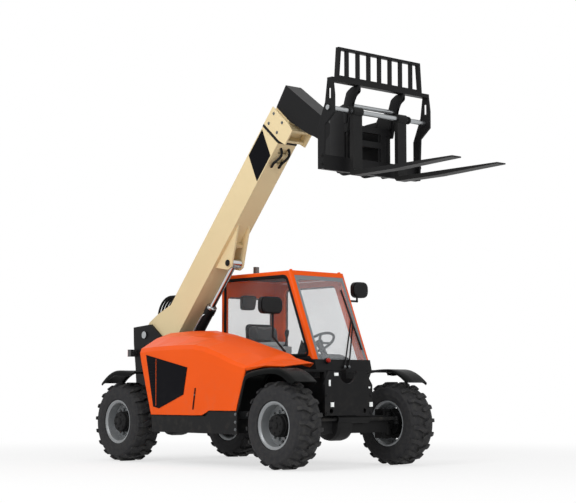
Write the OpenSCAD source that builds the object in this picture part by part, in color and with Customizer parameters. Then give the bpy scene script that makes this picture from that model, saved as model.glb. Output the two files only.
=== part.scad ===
// Compact telehandler, boom raised, forks level. Millimetres.
// X points forward, Y to the machine's left, Z up. The origin is on the ground, half way
// between the axles, on the plane midway between the left and right wheels.

/* [Wheels and axles] */
// Distance between the axles
wheelbase = 2530; // [2300:10:2800]
// Width over the tyres
overall_w = 1810; // [1700:10:2000]
// Tyre diameter over the lugs
tyre_d = 830; // [780:5:880]
// Tyre section width
tyre_w = 305; // [260:5:320]
// Height of a tyre lug
lug_h = 24; // [14:1:30]
// Lugs on each side of a tyre
lugs = 18; // [14:1:20]
// Distance of a steering pin inside the middle of its tyre
kingpin_set = 142.5; // [130:0.5:160]

/* [Boom] */
// Boom angle above level
boom_angle = 49; // [30:1:60]
// Sideways place of the boom
boom_y = -100; // [-130:5:-90]
// Boom section width
boom_w = 250; // [230:5:270]
// Boom section height
boom_h = 315; // [290:5:330]
// Wall of the outer boom
boom_wall = 12; // [8:1:16]
// Length of the boom from its pivot to the front of its collar
boom_len = 3130; // [2900:10:3200]
// Boom pivot behind the middle of the wheelbase
pivot_back = 1650; // [1600:10:1700]
// Boom pivot height
pivot_z = 1360; // [1320:10:1420]
// Drop from the pivot to the boom's top face
pivot_drop = 113; // [95:1:125]
// Lift pin's distance along the boom
lug_u = 1449; // [1400:5:1500]
// Lift pin's drop below the pivot
lug_drop = 565; // [555:5:590]

/* [Carriage and forks] */
// Gooseneck drop from the boom pivot's line to the tilt pin
head_drop = 1155; // [1120:5:1180]
// Fork carriage width over its side plates
carriage_w = 1310; // [1200:10:1360]
// Fork blade length
fork_len = 1250; // [1000:10:1300]
// Fork blade width
fork_w = 120; // [100:5:130]
// Distance between the fork centres
fork_pitch = 600; // [500:10:700]
// Load guard height above its lower rail
guard_h = 300; // [200:10:320]
// Upright bars in the load guard
guard_bars = 7; // [5:1:9]

/* [Cab] */
// Right wall of the cab
cab_right = 89; // [80:1:110]
// Left wall of the cab
cab_left = 870; // [850:5:890]
// Rear wall of the cab
cab_rear = -740; // [-750:5:-700]
// Roof height
roof_z = 1985; // [1950:5:2050]
// Thickness of the cab walls and the door
cab_wall = 45; // [38:1:50]
// Rounding of the cab's outer edges
cab_round = 26; // [16:1:32]
// Rounding of the window corners
window_round = 60; // [40:1:70]

/* [Hood] */
// Thickness of the hood shell
hood_t = 9; // [6:1:12]

/* [Hidden] */
$fn = 48;
orange = "#e8641f";
tan_paint = "#dcc79c";
black = "#242424";
steel = "#8d9092";
glass = "#b9c6ca";
rubber = "#37373a";
silver = "#a9acae";

tyre_r = tyre_d / 2;
axle_x = wheelbase / 2;
wheel_y = overall_w / 2 - tyre_w / 2;
kingpin_y = wheel_y - kingpin_set;
kingpin_boss = 48;
arm_len = 138;
arm_eye = 24;
fender_t = 10;
fender_z = tyre_d + 128;
arm_z = fender_z - fender_t - 1.2;
run_fit = 0.06;
seat_gap = 0.3;
move_gap = 6;

pivot = [-pivot_back, pivot_z];
function turned(p, a) = [p.x * cos(a) - p.y * sin(a), p.x * sin(a) + p.y * cos(a)];
function boom_point(u, w) = pivot + turned([u, w], boom_angle);

boom_top = -pivot_drop;
boom_bot = boom_top - boom_h;
boom_mid = (boom_top + boom_bot) / 2;
inner_w = boom_w - 2 * boom_wall - 26;
inner_h = boom_h - 2 * boom_wall - 30;
collar_u = boom_len - 212;
head_u = boom_len + 254;
tilt = boom_point(head_u, -head_drop);
tilt_pin_r = 32;
pivot_pin_r = 40;
cyl_pin_r = 30;
rod_r = 30;
barrel_r = 54;
eye_r = 50;
hose_r = 13;
hose_bend = 230;
hose_foot = [-1530, 1000];
cyl_base = [-1330, 850];
lift_pin = boom_point(lug_u, -lug_drop);
cyl_v = lift_pin - cyl_base;
cyl_len = norm(cyl_v);
cyl_angle = atan2(cyl_v.y, cyl_v.x);
barrel_len = cyl_len - 610;

ear_in = boom_w / 2 + 7;
ear_out = ear_in + 28;
frame_bot = tyre_r + 105;

shaft = [450, 215];
shaft_r = 24;
shank_t = 44;
fork_bot = -395;

function screen_x(z) = 772 - 0.4153 * (z - 1060);
belt_z = 1060;
head_z = roof_z - 50;
door_pin = [-606, cab_left + 14];
hinge_z = [1180, 1780];
wiper_y = [465, 525];
wiper_z = 985;
wiper_r = 14;
hood_pin = [-296, 1340];
hood_pin_x = [-860, -420];
column = [[560, 1040], [430, 1225]];
column_lean = atan2(column[0].x - column[1].x, column[1].y - column[0].y);
guard_bar = [366, 290];
guard_bar_r = 22;

// A closed outline with every corner turned into an arc of radius r.
function rounded(points, r, s = 4) = [for (i = [0:len(points) - 1])
    let (n = len(points), p = points[i], a = points[(i + n - 1) % n], b = points[(i + 1) % n],
        u = (a - p) / norm(a - p), v = (b - p) / norm(b - p), half = acos(u * v) / 2,
        c = p + (u + v) / norm(u + v) * r / sin(half),
        q0 = p + u * r / tan(half) - c, q1 = p + v * r / tan(half) - c,
        a0 = atan2(q0.y, q0.x), turn = (atan2(q1.y, q1.x) - a0 + 540) % 360 - 180)
    for (k = [0:s]) c + r * [cos(a0 + turn * k / s), sin(a0 + turn * k / s)]];

// A plate standing in the XZ plane, from y0 for t.
module xz_plate(points, y0, t) {
    translate([0, y0 + t, 0]) rotate([90, 0, 0]) linear_extrude(t) polygon(points);
}

// A plate standing in the YZ plane, from x0 for t.
module yz_plate(points, x0, t) {
    translate([x0, 0, 0]) rotate([90, 0, 90]) linear_extrude(t) polygon(points);
}

// A box given by its low and high corners.
module box(a, b) {
    translate(a) cube(b - a);
}

// A cylinder along Y between y0 and y1, at [x, z].
module y_rod(p, r, y0, y1) {
    translate([p.x, y0, p.y]) rotate([-90, 0, 0]) cylinder(r = r, h = y1 - y0);
}

// A cylinder along X between x0 and x1, at [y, z].
module x_rod(p, r, x0, x1) {
    translate([x0, p.x, p.y]) rotate([0, 90, 0]) cylinder(r = r, h = x1 - x0);
}

// A cylinder between two points.
module bar(a, b, r) {
    v = b - a;
    translate(a) rotate([0, acos(v.z / norm(v)), atan2(v.y, v.x)]) cylinder(r = r, h = norm(v));
}

// A bent rod through a list of points, with a ball at each bend.
module arm(points, r) {
    for (i = [1:len(points) - 1])
        bar(points[i - 1], points[i], r);
    for (i = [1:len(points) - 2])
        translate(points[i]) sphere(r = r + 2);
}

// A body of revolution about Y from a list of [radius, y].
module y_turned(points) {
    rotate([-90, 0, 0]) rotate_extrude($fn = 72) polygon([for (p = points) [p.x, p.y]]);
}

// Places children in the boom's own frame: X along the boom, Z square to it, pivot at zero.
module in_boom() {
    translate([pivot.x, boom_y, pivot.y]) rotate([0, -boom_angle, 0]) children();
}

// Places children in the carriage's frame, with the tilt pin at zero.
module in_carriage() {
    translate([tilt.x, boom_y, tilt.y]) children();
}

// Places children in the lift cylinder's frame, with its lower pin at zero.
module in_cylinder() {
    translate([cyl_base.x, boom_y, cyl_base.y]) rotate([0, -cyl_angle, 0]) children();
}

// Mirrors children to the right side when side is -1.
module to_side(side) {
    if (side < 0) mirror([0, 1, 0]) children();
    else children();
}

// Mirrors children to the rear when end is -1.
module to_end(end) {
    if (end < 0) mirror([1, 0, 0]) children();
    else children();
}

// A skin over rings of a folded wall: each ring runs along the outer line and back along the inner one.
module skin(rings) {
    n = len(rings[0]);
    m = len(rings);
    polyhedron(
        points = [for (r = rings) for (p = r) p],
        faces = concat(
            [for (i = [0:n / 2 - 2]) [n - 2 - i, i + 1, i]],
            [for (i = [0:n / 2 - 2]) [n - 1 - i, n - 2 - i, i]],
            [for (k = [0:m - 2]) for (i = [0:n - 1])
                for (f = skin_pair(k * n + i, k * n + (i + 1) % n, n, i < n / 2)) f],
            [for (i = [0:n / 2 - 2]) [i + 1, n - 2 - i, i] + (m - 1) * n * [1, 1, 1]],
            [for (i = [0:n / 2 - 2]) [n - 2 - i, n - 1 - i, i] + (m - 1) * n * [1, 1, 1]]),
        convexity = 6);
}

// Two triangles between point a and b of one ring and the next ring, with the diagonal that flip asks for.
function skin_pair(a, b, n, flip) =
    flip ? [[b + n, a + n, a], [b, b + n, a]] : [[b, a + n, a], [b, b + n, a + n]];

// Main frame: two side plates with the boom's ears, cross plates, the pod tray with its sill,
// cab outriggers, fender arms, the tow hitch and the fixed pins.
module chassis_frame() {
    side = [[-1823, 1000], [-1860, 1265], [-1867, 1450], [-1547, 1474], [-1369, 1347], [-1150, 980],
        [-1000, 905], [900, 880], [1425, 860], [1425, frame_bot], [960, frame_bot], [850, 330],
        [-850, 330], [-960, frame_bot], [-1640, frame_bot], [-1790, 640]];
    color(black) difference() {
        union() {
            for (s = [-1, 1])
                xz_plate(side, boom_y + (s < 0 ? -ear_out : ear_in), ear_out - ear_in);
            box([-800, boom_y - ear_in, 330], [840, boom_y + ear_in, 348]);
            box([930, boom_y - ear_in, frame_bot], [950, boom_y + ear_in, 850]);
            box([-1790, boom_y - ear_in, 640], [-1765, boom_y + ear_in, 1000]);
            box([-1000, boom_y - ear_in, frame_bot], [-980, boom_y + ear_in, 740]);
            box([hose_foot.x - 60, boom_y - ear_in, hose_foot.y - 20],
                [hose_foot.x + 40, boom_y + ear_in, hose_foot.y]);
            front_plate();
            pod();
            outriggers();
            fender_arms();
            hitch();
        }
        y_rod([-1640, 1220], 26, boom_y - ear_out - 1, boom_y + ear_out + 1);
        for (s = [-1, 1])
            x_rod([boom_y + s * 220, 548], 24, 1400, 1500);
        translate([-1880, boom_y, 500]) cylinder(r = 16, h = 200);
    }
    color(steel) y_rod(pivot, pivot_pin_r, boom_y - ear_out - 12, boom_y + ear_out + 12);
    color(steel) y_rod(cyl_base, cyl_pin_r, boom_y - ear_out - 8, boom_y + ear_out + 8);
}

// Front plate of the frame with its arched top recess.
module front_plate() {
    difference() {
        yz_plate([[boom_y - 304, 505], [boom_y + 330, 505], [boom_y + 330, 800], [boom_y + 235, 930],
            [boom_y - 235, 930], [boom_y - 304, 800]], 1425, 30);
        x_rod([boom_y, 930], 120, 1400, 1500);
    }
}

// Tray, sill and inner wall that carry the engine and the hood.
module pod() {
    inner = boom_y - ear_out;
    box([-640, -870, 330], [700, inner, 350]);
    xz_plate([[-645, 322], [725, 322], [725, 540], [285, 540], [235, 490], [-665, 490]], -886, 22);
    for (x = [-640, 680])
        box([x, -866, 345], [x + 20, inner, 470]);
    xz_plate([[-900, 880], [-900, 1300], [-300, 1300], [0, 1250], [420, 1150], [700, 1050], [760, 1050],
        [760, 860], [700, 340], [-640, 340]], -300, 12);
    for (x = [-620, 660])
        box([x, -300, 345], [x + 40, inner, 470]);
    for (x = [-880, 690])
        box([x, -300, 880], [x + 40, inner, 900]);
    for (x = hood_pin_x) {
        box([x, -300, 1290], [x + 60, -288, hood_pin.y]);
        x_rod(hood_pin, 7, x, x + 130);
    }
}

// Brackets that carry the cab, with the side tank hanging below.
module outriggers() {
    for (x = [-420, 400])
        box([x, boom_y + ear_out, 560], [x + 80, 820, 640]);
}

// Arms that carry the fenders.
module fender_arms() {
    for (e = [-1, 1]) to_end(e) {
        box([axle_x - 40, -860, arm_z - 24], [axle_x + 24, boom_y - ear_in, arm_z]);
        box([axle_x - 40, boom_y + ear_in, arm_z - 24], [axle_x + 24, 860, arm_z]);
        for (s = [-1, 1])
            box([axle_x - 40, boom_y + (s < 0 ? -ear_out : ear_in), 800],
                [axle_x + 24, boom_y + (s < 0 ? -ear_in : ear_out), arm_z]);
    }
}

// Tow hitch with its upright pin bore.
module hitch() {
    for (z = [520, 600])
        box([-1920, boom_y - 60, z], [-1760, boom_y + 60, z + 22]);
    box([-1790, boom_y - 60, frame_bot], [-1765, boom_y + 60, 660]);
}

// Engine as one plain block on the pod tray.
module engine_block() {
    color(steel) box([-520, -800, 350], [520, -340, 940]);
}

// Tank and steps under the cab.
module side_tank() {
    color(black) difference() {
        xz_plate([[-560, 400], [-520, 330], [560, 330], [600, 400], [600, 560], [-560, 560]], 330, 520);
        for (z = [360, 470])
            box([-200, 760, z], [300, 900, z + 70]);
    }
}

// Both axle housings with their steering yokes and steering cylinder barrels.
module axles() {
    color(black) for (e = [-1, 1]) to_end(e) translate([axle_x, 0, tyre_r]) axle();
}

// One axle, centred on its own axis; its frame pads reach up to the frame.
module axle() {
    yoke_h = 118;
    difference() {
        union() {
            y_turned([[0, -kingpin_y + 82], [66, -kingpin_y + 82], [74, boom_y - 176], [98, boom_y - 126],
                [150, boom_y - 100], [158, boom_y - 60], [158, boom_y + 60], [150, boom_y + 100],
                [98, boom_y + 126], [74, boom_y + 176], [66, kingpin_y - 82], [0, kingpin_y - 82]]);
            box([-75, -kingpin_y + 100, -84], [95, kingpin_y - 100, 84]);
            for (s = [-1, 1])
                box([-60, boom_y + s * (ear_in + 14) - 32, 0],
                    [60, boom_y + s * (ear_in + 14) + 32, frame_bot - tyre_r]);
            for (s = [-1, 1]) to_side(s) {
                box([-58, kingpin_y - 104, -yoke_h - 26], [58, kingpin_y - 74, yoke_h + 26]);
                for (z = [-yoke_h - 26, yoke_h]) {
                    box([-50, kingpin_y - 104, z], [50, kingpin_y, z + 26]);
                    translate([0, kingpin_y, z]) cylinder(r = 50, h = 26);
                }
            }
            y_rod([arm_len, 52], 38, -210, 210);
            for (s = [-1, 1])
                box([40, s * 150 - 18, 30], [arm_len, s * 150 + 18, 70]);
        }
        for (s = [-1, 1])
            translate([0, s * kingpin_y, -200]) cylinder(r = 22 + run_fit, h = 400);
        y_rod([arm_len, 52], 18 + run_fit, -kingpin_y, kingpin_y);
    }
}

// Rod through a steering cylinder, with its end eyes over the steering arms.
module steer_rod(end) {
    color(steel) to_end(end) translate([axle_x, 0, tyre_r]) union() {
        y_rod([arm_len, 52], 18, -kingpin_y, kingpin_y);
        for (s = [-1, 1])
            translate([arm_len, s * kingpin_y, 52 - 20]) cylinder(r = arm_eye, h = 40);
    }
}
module steer_rod_front() { steer_rod(1); }
module steer_rod_rear() { steer_rod(-1); }

// Steering knuckle on its kingpin, with the stub axle and the steering arm.
module knuckle(end, side) {
    color(black) to_end(end) to_side(side) translate([axle_x, kingpin_y, tyre_r]) union() {
        translate([0, 0, -150]) cylinder(r = 22, h = 300);
        translate([0, 0, -112]) cylinder(r = kingpin_boss, h = 224);
        y_rod([0, 0], 60, 0, wheel_y - kingpin_y - 52);
        box([0, -20, 0], [arm_len, 20, 24]);
        translate([arm_len, 0, 0]) cylinder(r = arm_eye, h = 24);
    }
}
module knuckle_front_right() { knuckle(1, -1); }
module knuckle_front_left() { knuckle(1, 1); }
module knuckle_rear_right() { knuckle(-1, -1); }
module knuckle_rear_left() { knuckle(-1, 1); }

// Fenders: an arch over three wheels and a longer one with a rear leg on the right front.
module fenders() {
    function crown(x0) = [for (x = [x0:30:300]) [x, fender_z - (x > 0 ? 0.00144 : 0.000275) * x * x]];
    color(black) {
        for (p = [[1, 1], [-1, 1], [-1, -1]])
            to_end(p.x) to_side(p.y) fender_arch(crown(-270));
        to_side(-1) fender_arch(concat([[-545, 548], [-487, 740], [-442, 872], [-415, 903], [-370, 920]],
            crown(-330)));
    }
}

// One fender over the left front wheel: a sheet below the given outer line, with an outer lip.
module fender_arch(line) {
    n = len(line);
    function set_in(t) = [for (i = [n - 1:-1:0]) line[i] - fender_n(line, i) * t];
    function under() = [for (i = [0:n - 1]) line[i] - fender_n(line, i) * fender_t];
    translate([axle_x, 0, 0]) difference() {
        xz_plate(concat(line, set_in(fender_t + 16)), kingpin_y, 295);
        xz_plate(concat(under(), set_in(fender_t + 30)), kingpin_y - 1, 286);
    }
}

// Unit normal of a line at one of its points, to its left.
function fender_n(line, i) =
    let (a = line[max(i - 1, 0)], b = line[min(i + 1, len(line) - 1)], d = (b - a) / norm(b - a))
    [-d.y, d.x];

// Lower cab: floor, walls to the belt line, open at the door.
module cab_tub() {
    w = cab_wall;
    outer = [[cab_rear, 640], [640, 640], [700, 760], [799, 947], [772, belt_z], [cab_rear, belt_z]];
    inner = [[cab_rear + w, 670], [600, 670], [655, 780], [750, 950], [722, belt_z + 1],
        [cab_rear + w, belt_z + 1]];
    color(black) difference() {
        xz_plate(outer, cab_right, cab_left - cab_right);
        xz_plate(inner, cab_right + w, cab_left - cab_right - 2 * w);
        xz_plate([[-606, 700], [590, 700], [697, belt_z + 1], [-606, belt_z + 1]], cab_left - w - 1, w + 2);
        for (y = wiper_y)
            x_rod([y, wiper_z], wiper_r + run_fit, 700, 830);
    }
}

// Cab half of a door hinge: leaf, knuckle and pin.
module hinge_pin(z) {
    box([door_pin.x - 55, cab_left, z - 40], [door_pin.x, cab_left + 8, z]);
    translate([door_pin.x, door_pin.y, z - 40]) cylinder(r = 14, h = 40);
    translate([door_pin.x, door_pin.y, z - 40]) cylinder(r = 8, h = 80);
}

// Outer form of the upper cab, with its edges rounded.
module cab_form() {
    wide = [[cab_rear, cab_right], [2000, cab_right], [2000, cab_left], [cab_rear, cab_left]];
    intersection() {
        xz_plate([[cab_rear, belt_z], [772, belt_z], [screen_x(roof_z), roof_z], [cab_rear, roof_z]],
            cab_right, cab_left - cab_right);
        yz_plate(rounded([[cab_right, 0], [cab_left, 0], [cab_left, roof_z], [cab_right, roof_z]], cab_round),
            cab_rear, 2000);
        linear_extrude(2 * roof_z) polygon(rounded(wide, 1.2 * cab_round));
        translate([772, 0, belt_z]) rotate([0, -atan(0.4153), 0]) translate([-2000, 0, -400])
            linear_extrude(2000)
                polygon(rounded([for (p = wide) [p.x < 0 ? -900 : p.x, p.y]], 1.5 * cab_round));
    }
}

// Upper cab: pillars and roof rails in one frame, with the door's hinge pins and a cap on each front pillar.
module cab_frame() {
    w = cab_wall;
    color(orange) for (z = hinge_z)
        hinge_pin(z);
    color(orange) for (y = [cab_right + 48, cab_left - 48])
        translate([screen_x(roof_z) - 34, y, roof_z]) cylinder(r1 = 20, r2 = 13, h = 14);
    color(orange) difference() {
        cab_form();
        xz_plate([[cab_rear + w, belt_z - 1], [900, belt_z - 1], [screen_x(head_z) + 60, head_z],
            [cab_rear + w, head_z]], cab_right + w, cab_left - cab_right - 2 * w);
        xz_plate(side_window(), cab_right - 1, w + 2);
        xz_plate(door_hole(belt_z - 1), cab_left - w - 1, w + 2);
        yz_plate(rear_window(), cab_rear - 1, w + 2);
        box([cab_rear + 80, cab_right + 70, head_z - 1], [screen_x(roof_z) - 60, cab_left - 70, roof_z + 1]);
    }
}

function side_window() = rounded([[cab_rear + 75, belt_z + 40], [screen_x(belt_z + 40) - 75, belt_z + 40],
    [screen_x(head_z - 10) - 75, head_z - 10], [cab_rear + 75, head_z - 10]], window_round);
function rear_window() = rounded([[cab_right + 60, belt_z + 40], [cab_left - 60, belt_z + 40],
    [cab_left - 60, 1760], [cab_right + 60, 1760]], window_round);
function door_hole(z0) = [[-606, z0], [screen_x(z0) - 75, z0], [screen_x(head_z - 10) - 75, head_z - 10],
    [-606, head_z - 10]];

// Roof panel in the roof opening.
module cab_roof() {
    color(black) box([cab_rear + 80, cab_right + 70, head_z + 10],
        [screen_x(roof_z) - 60, cab_left - 70, roof_z - 4]);
}

// Windscreen between the front pillars.
module windscreen() {
    color(glass) xz_plate([[screen_x(belt_z) - 8, belt_z], [screen_x(belt_z) - 1, belt_z],
        [screen_x(head_z) - 1, head_z], [screen_x(head_z) - 8, head_z]],
        cab_right + cab_wall, cab_left - cab_right - 2 * cab_wall);
}

// Right side window and rear window.
module cab_glass() {
    color(glass) {
        xz_plate(side_window(), cab_right + 12, 6);
        yz_plate(rear_window(), cab_rear + 12, 6);
    }
}

// Dashboard with the steering column and the corner panel beside it.
module dash() {
    color(black) union() {
        xz_plate([[560, 670], [590, 670], [645, 780], [720, 950], [690, 1080], [560, 1120], [500, 1060],
            [560, 950]], 300, 340);
        bar([column[0].x, 470, column[0].y], [column[1].x, 470, column[1].y], 32);
        xz_plate([[545, 1000], [690, 1000], [690, 1075], [520, 1260], [440, 1075]],
            cab_right + cab_wall + 1, 6);
        box([560, cab_right + cab_wall + 1, 1000], [600, 320, 1040]);
    }
}

// Steering wheel on the end of its column.
module steering_wheel() {
    color(black) translate([column[1].x, 470, column[1].y]) rotate([0, -column_lean, 0])
        translate([0, 0, seat_gap]) union() {
        cylinder(r = 45, h = 30);
        translate([0, 0, 18]) rotate_extrude() translate([170, 0]) circle(r = 14, $fn = 24);
        for (a = [90, 210, 330]) rotate([0, 0, a])
            translate([0, -12, 10]) cube([165, 24, 12]);
    }
}

// Seat pedestal on the cab floor.
module seat_base() {
    color(black) box([-460, 300, 670], [-60, 660, 1000]);
}

// Seat cushion and backrest in one piece.
module seat() {
    color(black) xz_plate(rounded([[-560, 1000], [-20, 1000], [-20, 1110], [-380, 1110], [-470, 1660],
        [-580, 1660]], 40), 250, 460);
}

// Console at the right of the seat.
module side_console() {
    color(silver) box([-250, 150, 670], [250, 240, 1200]);
}

// Outside mirrors on their arms.
module mirrors() {
    color(black) {
        union() {
            arm([[740, -286, 1050], [740, -286, 1132], [690, -400, 1276], [690, -400, 1530]], 11);
            yz_plate(rounded([[-572, 1503], [-302, 1503], [-302, 1672], [-572, 1672]], 55), 662, 52);
        }
        union() {
            arm([[466, cab_left + seat_gap, 1690], [466, cab_left + 110, 1690],
                [466, cab_left + 110, 1760]], 11);
            yz_plate(rounded([[cab_left + 42, 1728], [cab_left + 250, 1728], [cab_left + 250, 1896],
                [cab_left + 42, 1896]], 60), 436, 46);
        }
    }
}

// Wiper with its two arms and the long blade beside the left pillar.
module wiper() {
    color(black) union() {
        for (y = wiper_y)
            x_rod([y, wiper_z], wiper_r, 770, 822);
        bar([815, wiper_y[0], wiper_z], [screen_x(1480) + 14, 752, 1480], 8);
        bar([815, wiper_y[1], wiper_z], [screen_x(1440) + 14, 762, 1440], 8);
        bar([screen_x(1165) + 14, 782, 1165], [screen_x(1800) + 14, 734, 1800], 8);
    }
}

// Beacon on the roof panel, front lamps and rear lamps.
module lamps() {
    color(silver) {
        translate([-270, cab_right + 106, roof_z - 4]) cylinder(r = 32, h = 78);
        for (p = [[boom_y - 213, 609, 18, 22], [boom_y + 305, 609, 18, 22], [boom_y - 160, 899, 24, 14]])
            box([1455, p[0] - p[2], p[1] - p[3]], [1466, p[0] + p[2], p[1] + p[3]]);
        for (s = [-1, 1])
            box([-1850, boom_y + (s < 0 ? -ear_out - 90 : ear_out), 1120],
                [-1790, boom_y + (s < 0 ? -ear_out : ear_out + 90), 1200]);
    }
}

// Hoses that loop from the frame's ears to the boom.
module boom_hoses() {
    top = boom_point(648, boom_top);
    z0 = hose_foot.y;
    color(black) translate([hose_foot.x, boom_y, top.y - hose_bend]) cube([44, 170, 44], center = true);
    color(black) for (k = [-1.5, -0.5, 0.5, 1.5]) translate([hose_foot.x, boom_y + k * 40, 0]) union() {
        translate([0, 0, z0]) cylinder(r = hose_r, h = top.y - hose_bend - z0);
        translate([hose_bend, 0, top.y - hose_bend]) rotate([90, 0, 0]) rotate([0, 0, 90])
            rotate_extrude(angle = 90) translate([hose_bend, 0]) circle(r = hose_r);
        x_rod([0, top.y], hose_r, hose_bend, top.x - hose_foot.x - 16);
    }
}

// Hood rings: [x at foot, foot z, x at ridge, crease z, ridge z, outer y].
hood_rings = [
    [-679, 497, -964, 1178, 1366, -880], [-560, 497, -700, 1192, 1374, -880],
    [-300, 497, -300, 1200, 1366, -880], [0, 497, 0, 1199, 1318, -880],
    [170, 500, 200, 1168, 1272, -880], [280, 547, 420, 1110, 1216, -880],
    [500, 547, 640, 1035, 1160, -880], [700, 547, 860, 980, 1104, -880],
    [815, 930, 950, 965, 1062, -872], [1000, 966, 1090, 985, 1030, -800],
    [1130, 966, 1200, 976, 1008, -640]];

// One closed ring of the hood's shell: its outer line and the same line set in by the wall.
function hood_ring(r) =
    let (yo = r[5], zb = r[1], zc = r[3], zr = r[4], w = -306 - yo, t = hood_t,
        o = [[yo, zb], [yo, zc - 0.2 * (zc - zb)], [yo + 6, zc - 0.06 * (zc - zb)], [yo + 0.06 * w, zc + 4],
            [yo + 0.45 * w, zc + 0.62 * (zr - zc)], [yo + 0.8 * w, zr - 0.05 * abs(zr - zc)],
            [yo + 0.97 * w, zr], [yo + w, zr - 8], [yo + w, zr - 40]],
        n = [[t, 0], [t, 0], [t, -2], [0.6 * t, -0.9 * t], [0.3 * t, -t], [0, -t], [-0.6 * t, -t],
            [-t, -0.6 * t], [-t, 0]])
    [for (p = concat(o, [for (i = [8:-1:0]) o[i] + n[i]]))
        [r[0] + (r[2] - r[0]) * (p.y - zb) / (zr - zb), p.x, p.y]];

// Hood shell over the engine, open below, with its hinge knuckles, latch slot and the opening for its panel.
module hood() {
    color(orange) difference() {
        union() {
            skin([for (r = hood_rings) hood_ring(r)]);
            for (x = hood_pin_x)
                x_rod(hood_pin, 16, x + 61, x + 125);
        }
        xz_plate(panel_line(0), -900, 60);
        xz_plate([[26, 770], [46, 770], [56, 555], [36, 555]], -900, 25);
        for (x = hood_pin_x)
            x_rod(hood_pin, 7 + run_fit, x + 60, x + 126);
    }
}

function panel_line(g) = [[-770 + g, 1112 - g], [-70 - g, 975 - g], [-130 - g, 704 + g], [-540, 562 + g],
    [-640 + g, 580 + g]];

// Dark vent panel set in the hood's side.
module hood_panel() {
    color(black) xz_plate(panel_line(0), -884, 6);
}

// Cab door with its window.
module door() {
    w = cab_wall;
    g = move_gap;
    line = [[-606 + g, 700 + g], [590 - g, 700 + g], [697 - g - 2, belt_z],
        [screen_x(head_z - 10) - 75 - g - 2, head_z - 10 - g], [-606 + g, head_z - 10 - g]];
    color(orange) difference() {
        union() {
            xz_plate(line, cab_left - w, w);
            for (z = hinge_z) {
                box([door_pin.x, cab_left, z + 1], [door_pin.x + 76, cab_left + 8, z + 40]);
                translate([door_pin.x, door_pin.y, z + 1]) cylinder(r = 14, h = 39);
            }
        }
        xz_plate(door_window(), cab_left - w - 1, w + 2);
        for (z = hinge_z)
            translate([door_pin.x, door_pin.y, z]) cylinder(r = 8 + run_fit, h = 42);
    }
}

function door_window() = rounded([[-540, 800], [550, 800], [630, 1055], [275, head_z - 75],
    [-540, head_z - 75]], window_round);

module door_glass() {
    color(glass) xz_plate(door_window(), cab_left - 20, 6);
}

// Outer boom: box section, base plates up to the pivot, front collar and the lift lug.
module boom_outer() {
    h = boom_w / 2;
    base = [[-40, 60], [132, 62], [300, 0], [520, boom_top], [520, boom_bot], [330, boom_bot], [190, -330],
        [-60, -60]];
    collar = [[collar_u, boom_top - 14], [boom_len, boom_top - 14], [boom_len, boom_top - 330],
        [boom_len - 20, boom_top - 430], [collar_u + 20, boom_top - 430], [collar_u, boom_top - 330]];
    lug = [[lug_u - 170, boom_bot + 1], [lug_u - 60, -lug_drop - 40], [lug_u, -lug_drop - 62],
        [lug_u + 60, -lug_drop - 30], [lug_u + 400, boom_bot + 1]];
    color(tan_paint) in_boom() difference() {
        union() {
            box([330, -h, boom_bot], [boom_len - 30, h, boom_top]);
            for (s = [-1, 1])
                xz_plate(base, s < 0 ? -h : h - 20, 20);
            y_rod([0, 0], 92, -h, h);
            for (s = [-1, 1])
                xz_plate(collar, s < 0 ? -h - 16 : h, 16);
            for (u = [collar_u + 30, boom_len - 60])
                box([u, -h, boom_top - 400], [u + 26, h, boom_bot]);
            for (s = [-1, 1])
                xz_plate(lug, s < 0 ? -86 : 66, 20);
            box([lug_u + 150, -70, boom_bot - 60], [lug_u + 180, 70, boom_bot]);
            for (s = [-1, 1])
                y_rod([lug_u, -lug_drop], 40, s < 0 ? -96 : 66, s < 0 ? -66 : 96);
        }
        difference() {
            box([331, -h + boom_wall, boom_bot + boom_wall], [boom_len, h - boom_wall, boom_top - boom_wall]);
            wear_pads(collar_u, boom_len - 30, 0);
        }
        y_rod([0, 0], pivot_pin_r + run_fit, -h - 1, h + 1);
        for (u = [boom_len - 490, boom_len - 370])
            box([u, -60, boom_bot - 1], [u + 60, 60, boom_bot + boom_wall + 1]);
    }
}

// Wear pads around the inner boom; gap is left outside them, or inside them when it is zero.
module wear_pads(u0, u1, gap) {
    a = inner_w / 2 + (gap > 0 ? 0 : seat_gap);
    b = boom_w / 2 - boom_wall - gap;
    c = inner_h / 2 + (gap > 0 ? 0 : seat_gap);
    d = boom_h / 2 - boom_wall - gap;
    for (s = [-1, 1]) for (t = [-1, 1]) {
        box([u0, min(s * a, s * b), boom_mid + t * c / 2 - 40],
            [u1, max(s * a, s * b), boom_mid + t * c / 2 + 40]);
        box([u0, s * a / 2 - 30, boom_mid + min(t * c, t * d)],
            [u1, s * a / 2 + 30, boom_mid + max(t * c, t * d)]);
    }
}

// Inner boom tube.
module boom_inner() {
    color(tan_paint) in_boom() {
        inner_tube();
        wear_pads(400, 520, seat_gap);
    }
}

// The inner boom's box section.
module inner_tube() {
    difference() {
        box([400, -inner_w / 2, boom_mid - inner_h / 2],
            [boom_len + 10, inner_w / 2, boom_mid + inner_h / 2]);
        box([399, -inner_w / 2 + 10, boom_mid - inner_h / 2 + 10],
            [boom_len + 11, inner_w / 2 - 10, boom_mid + inner_h / 2 - 10]);
    }
}

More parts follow.
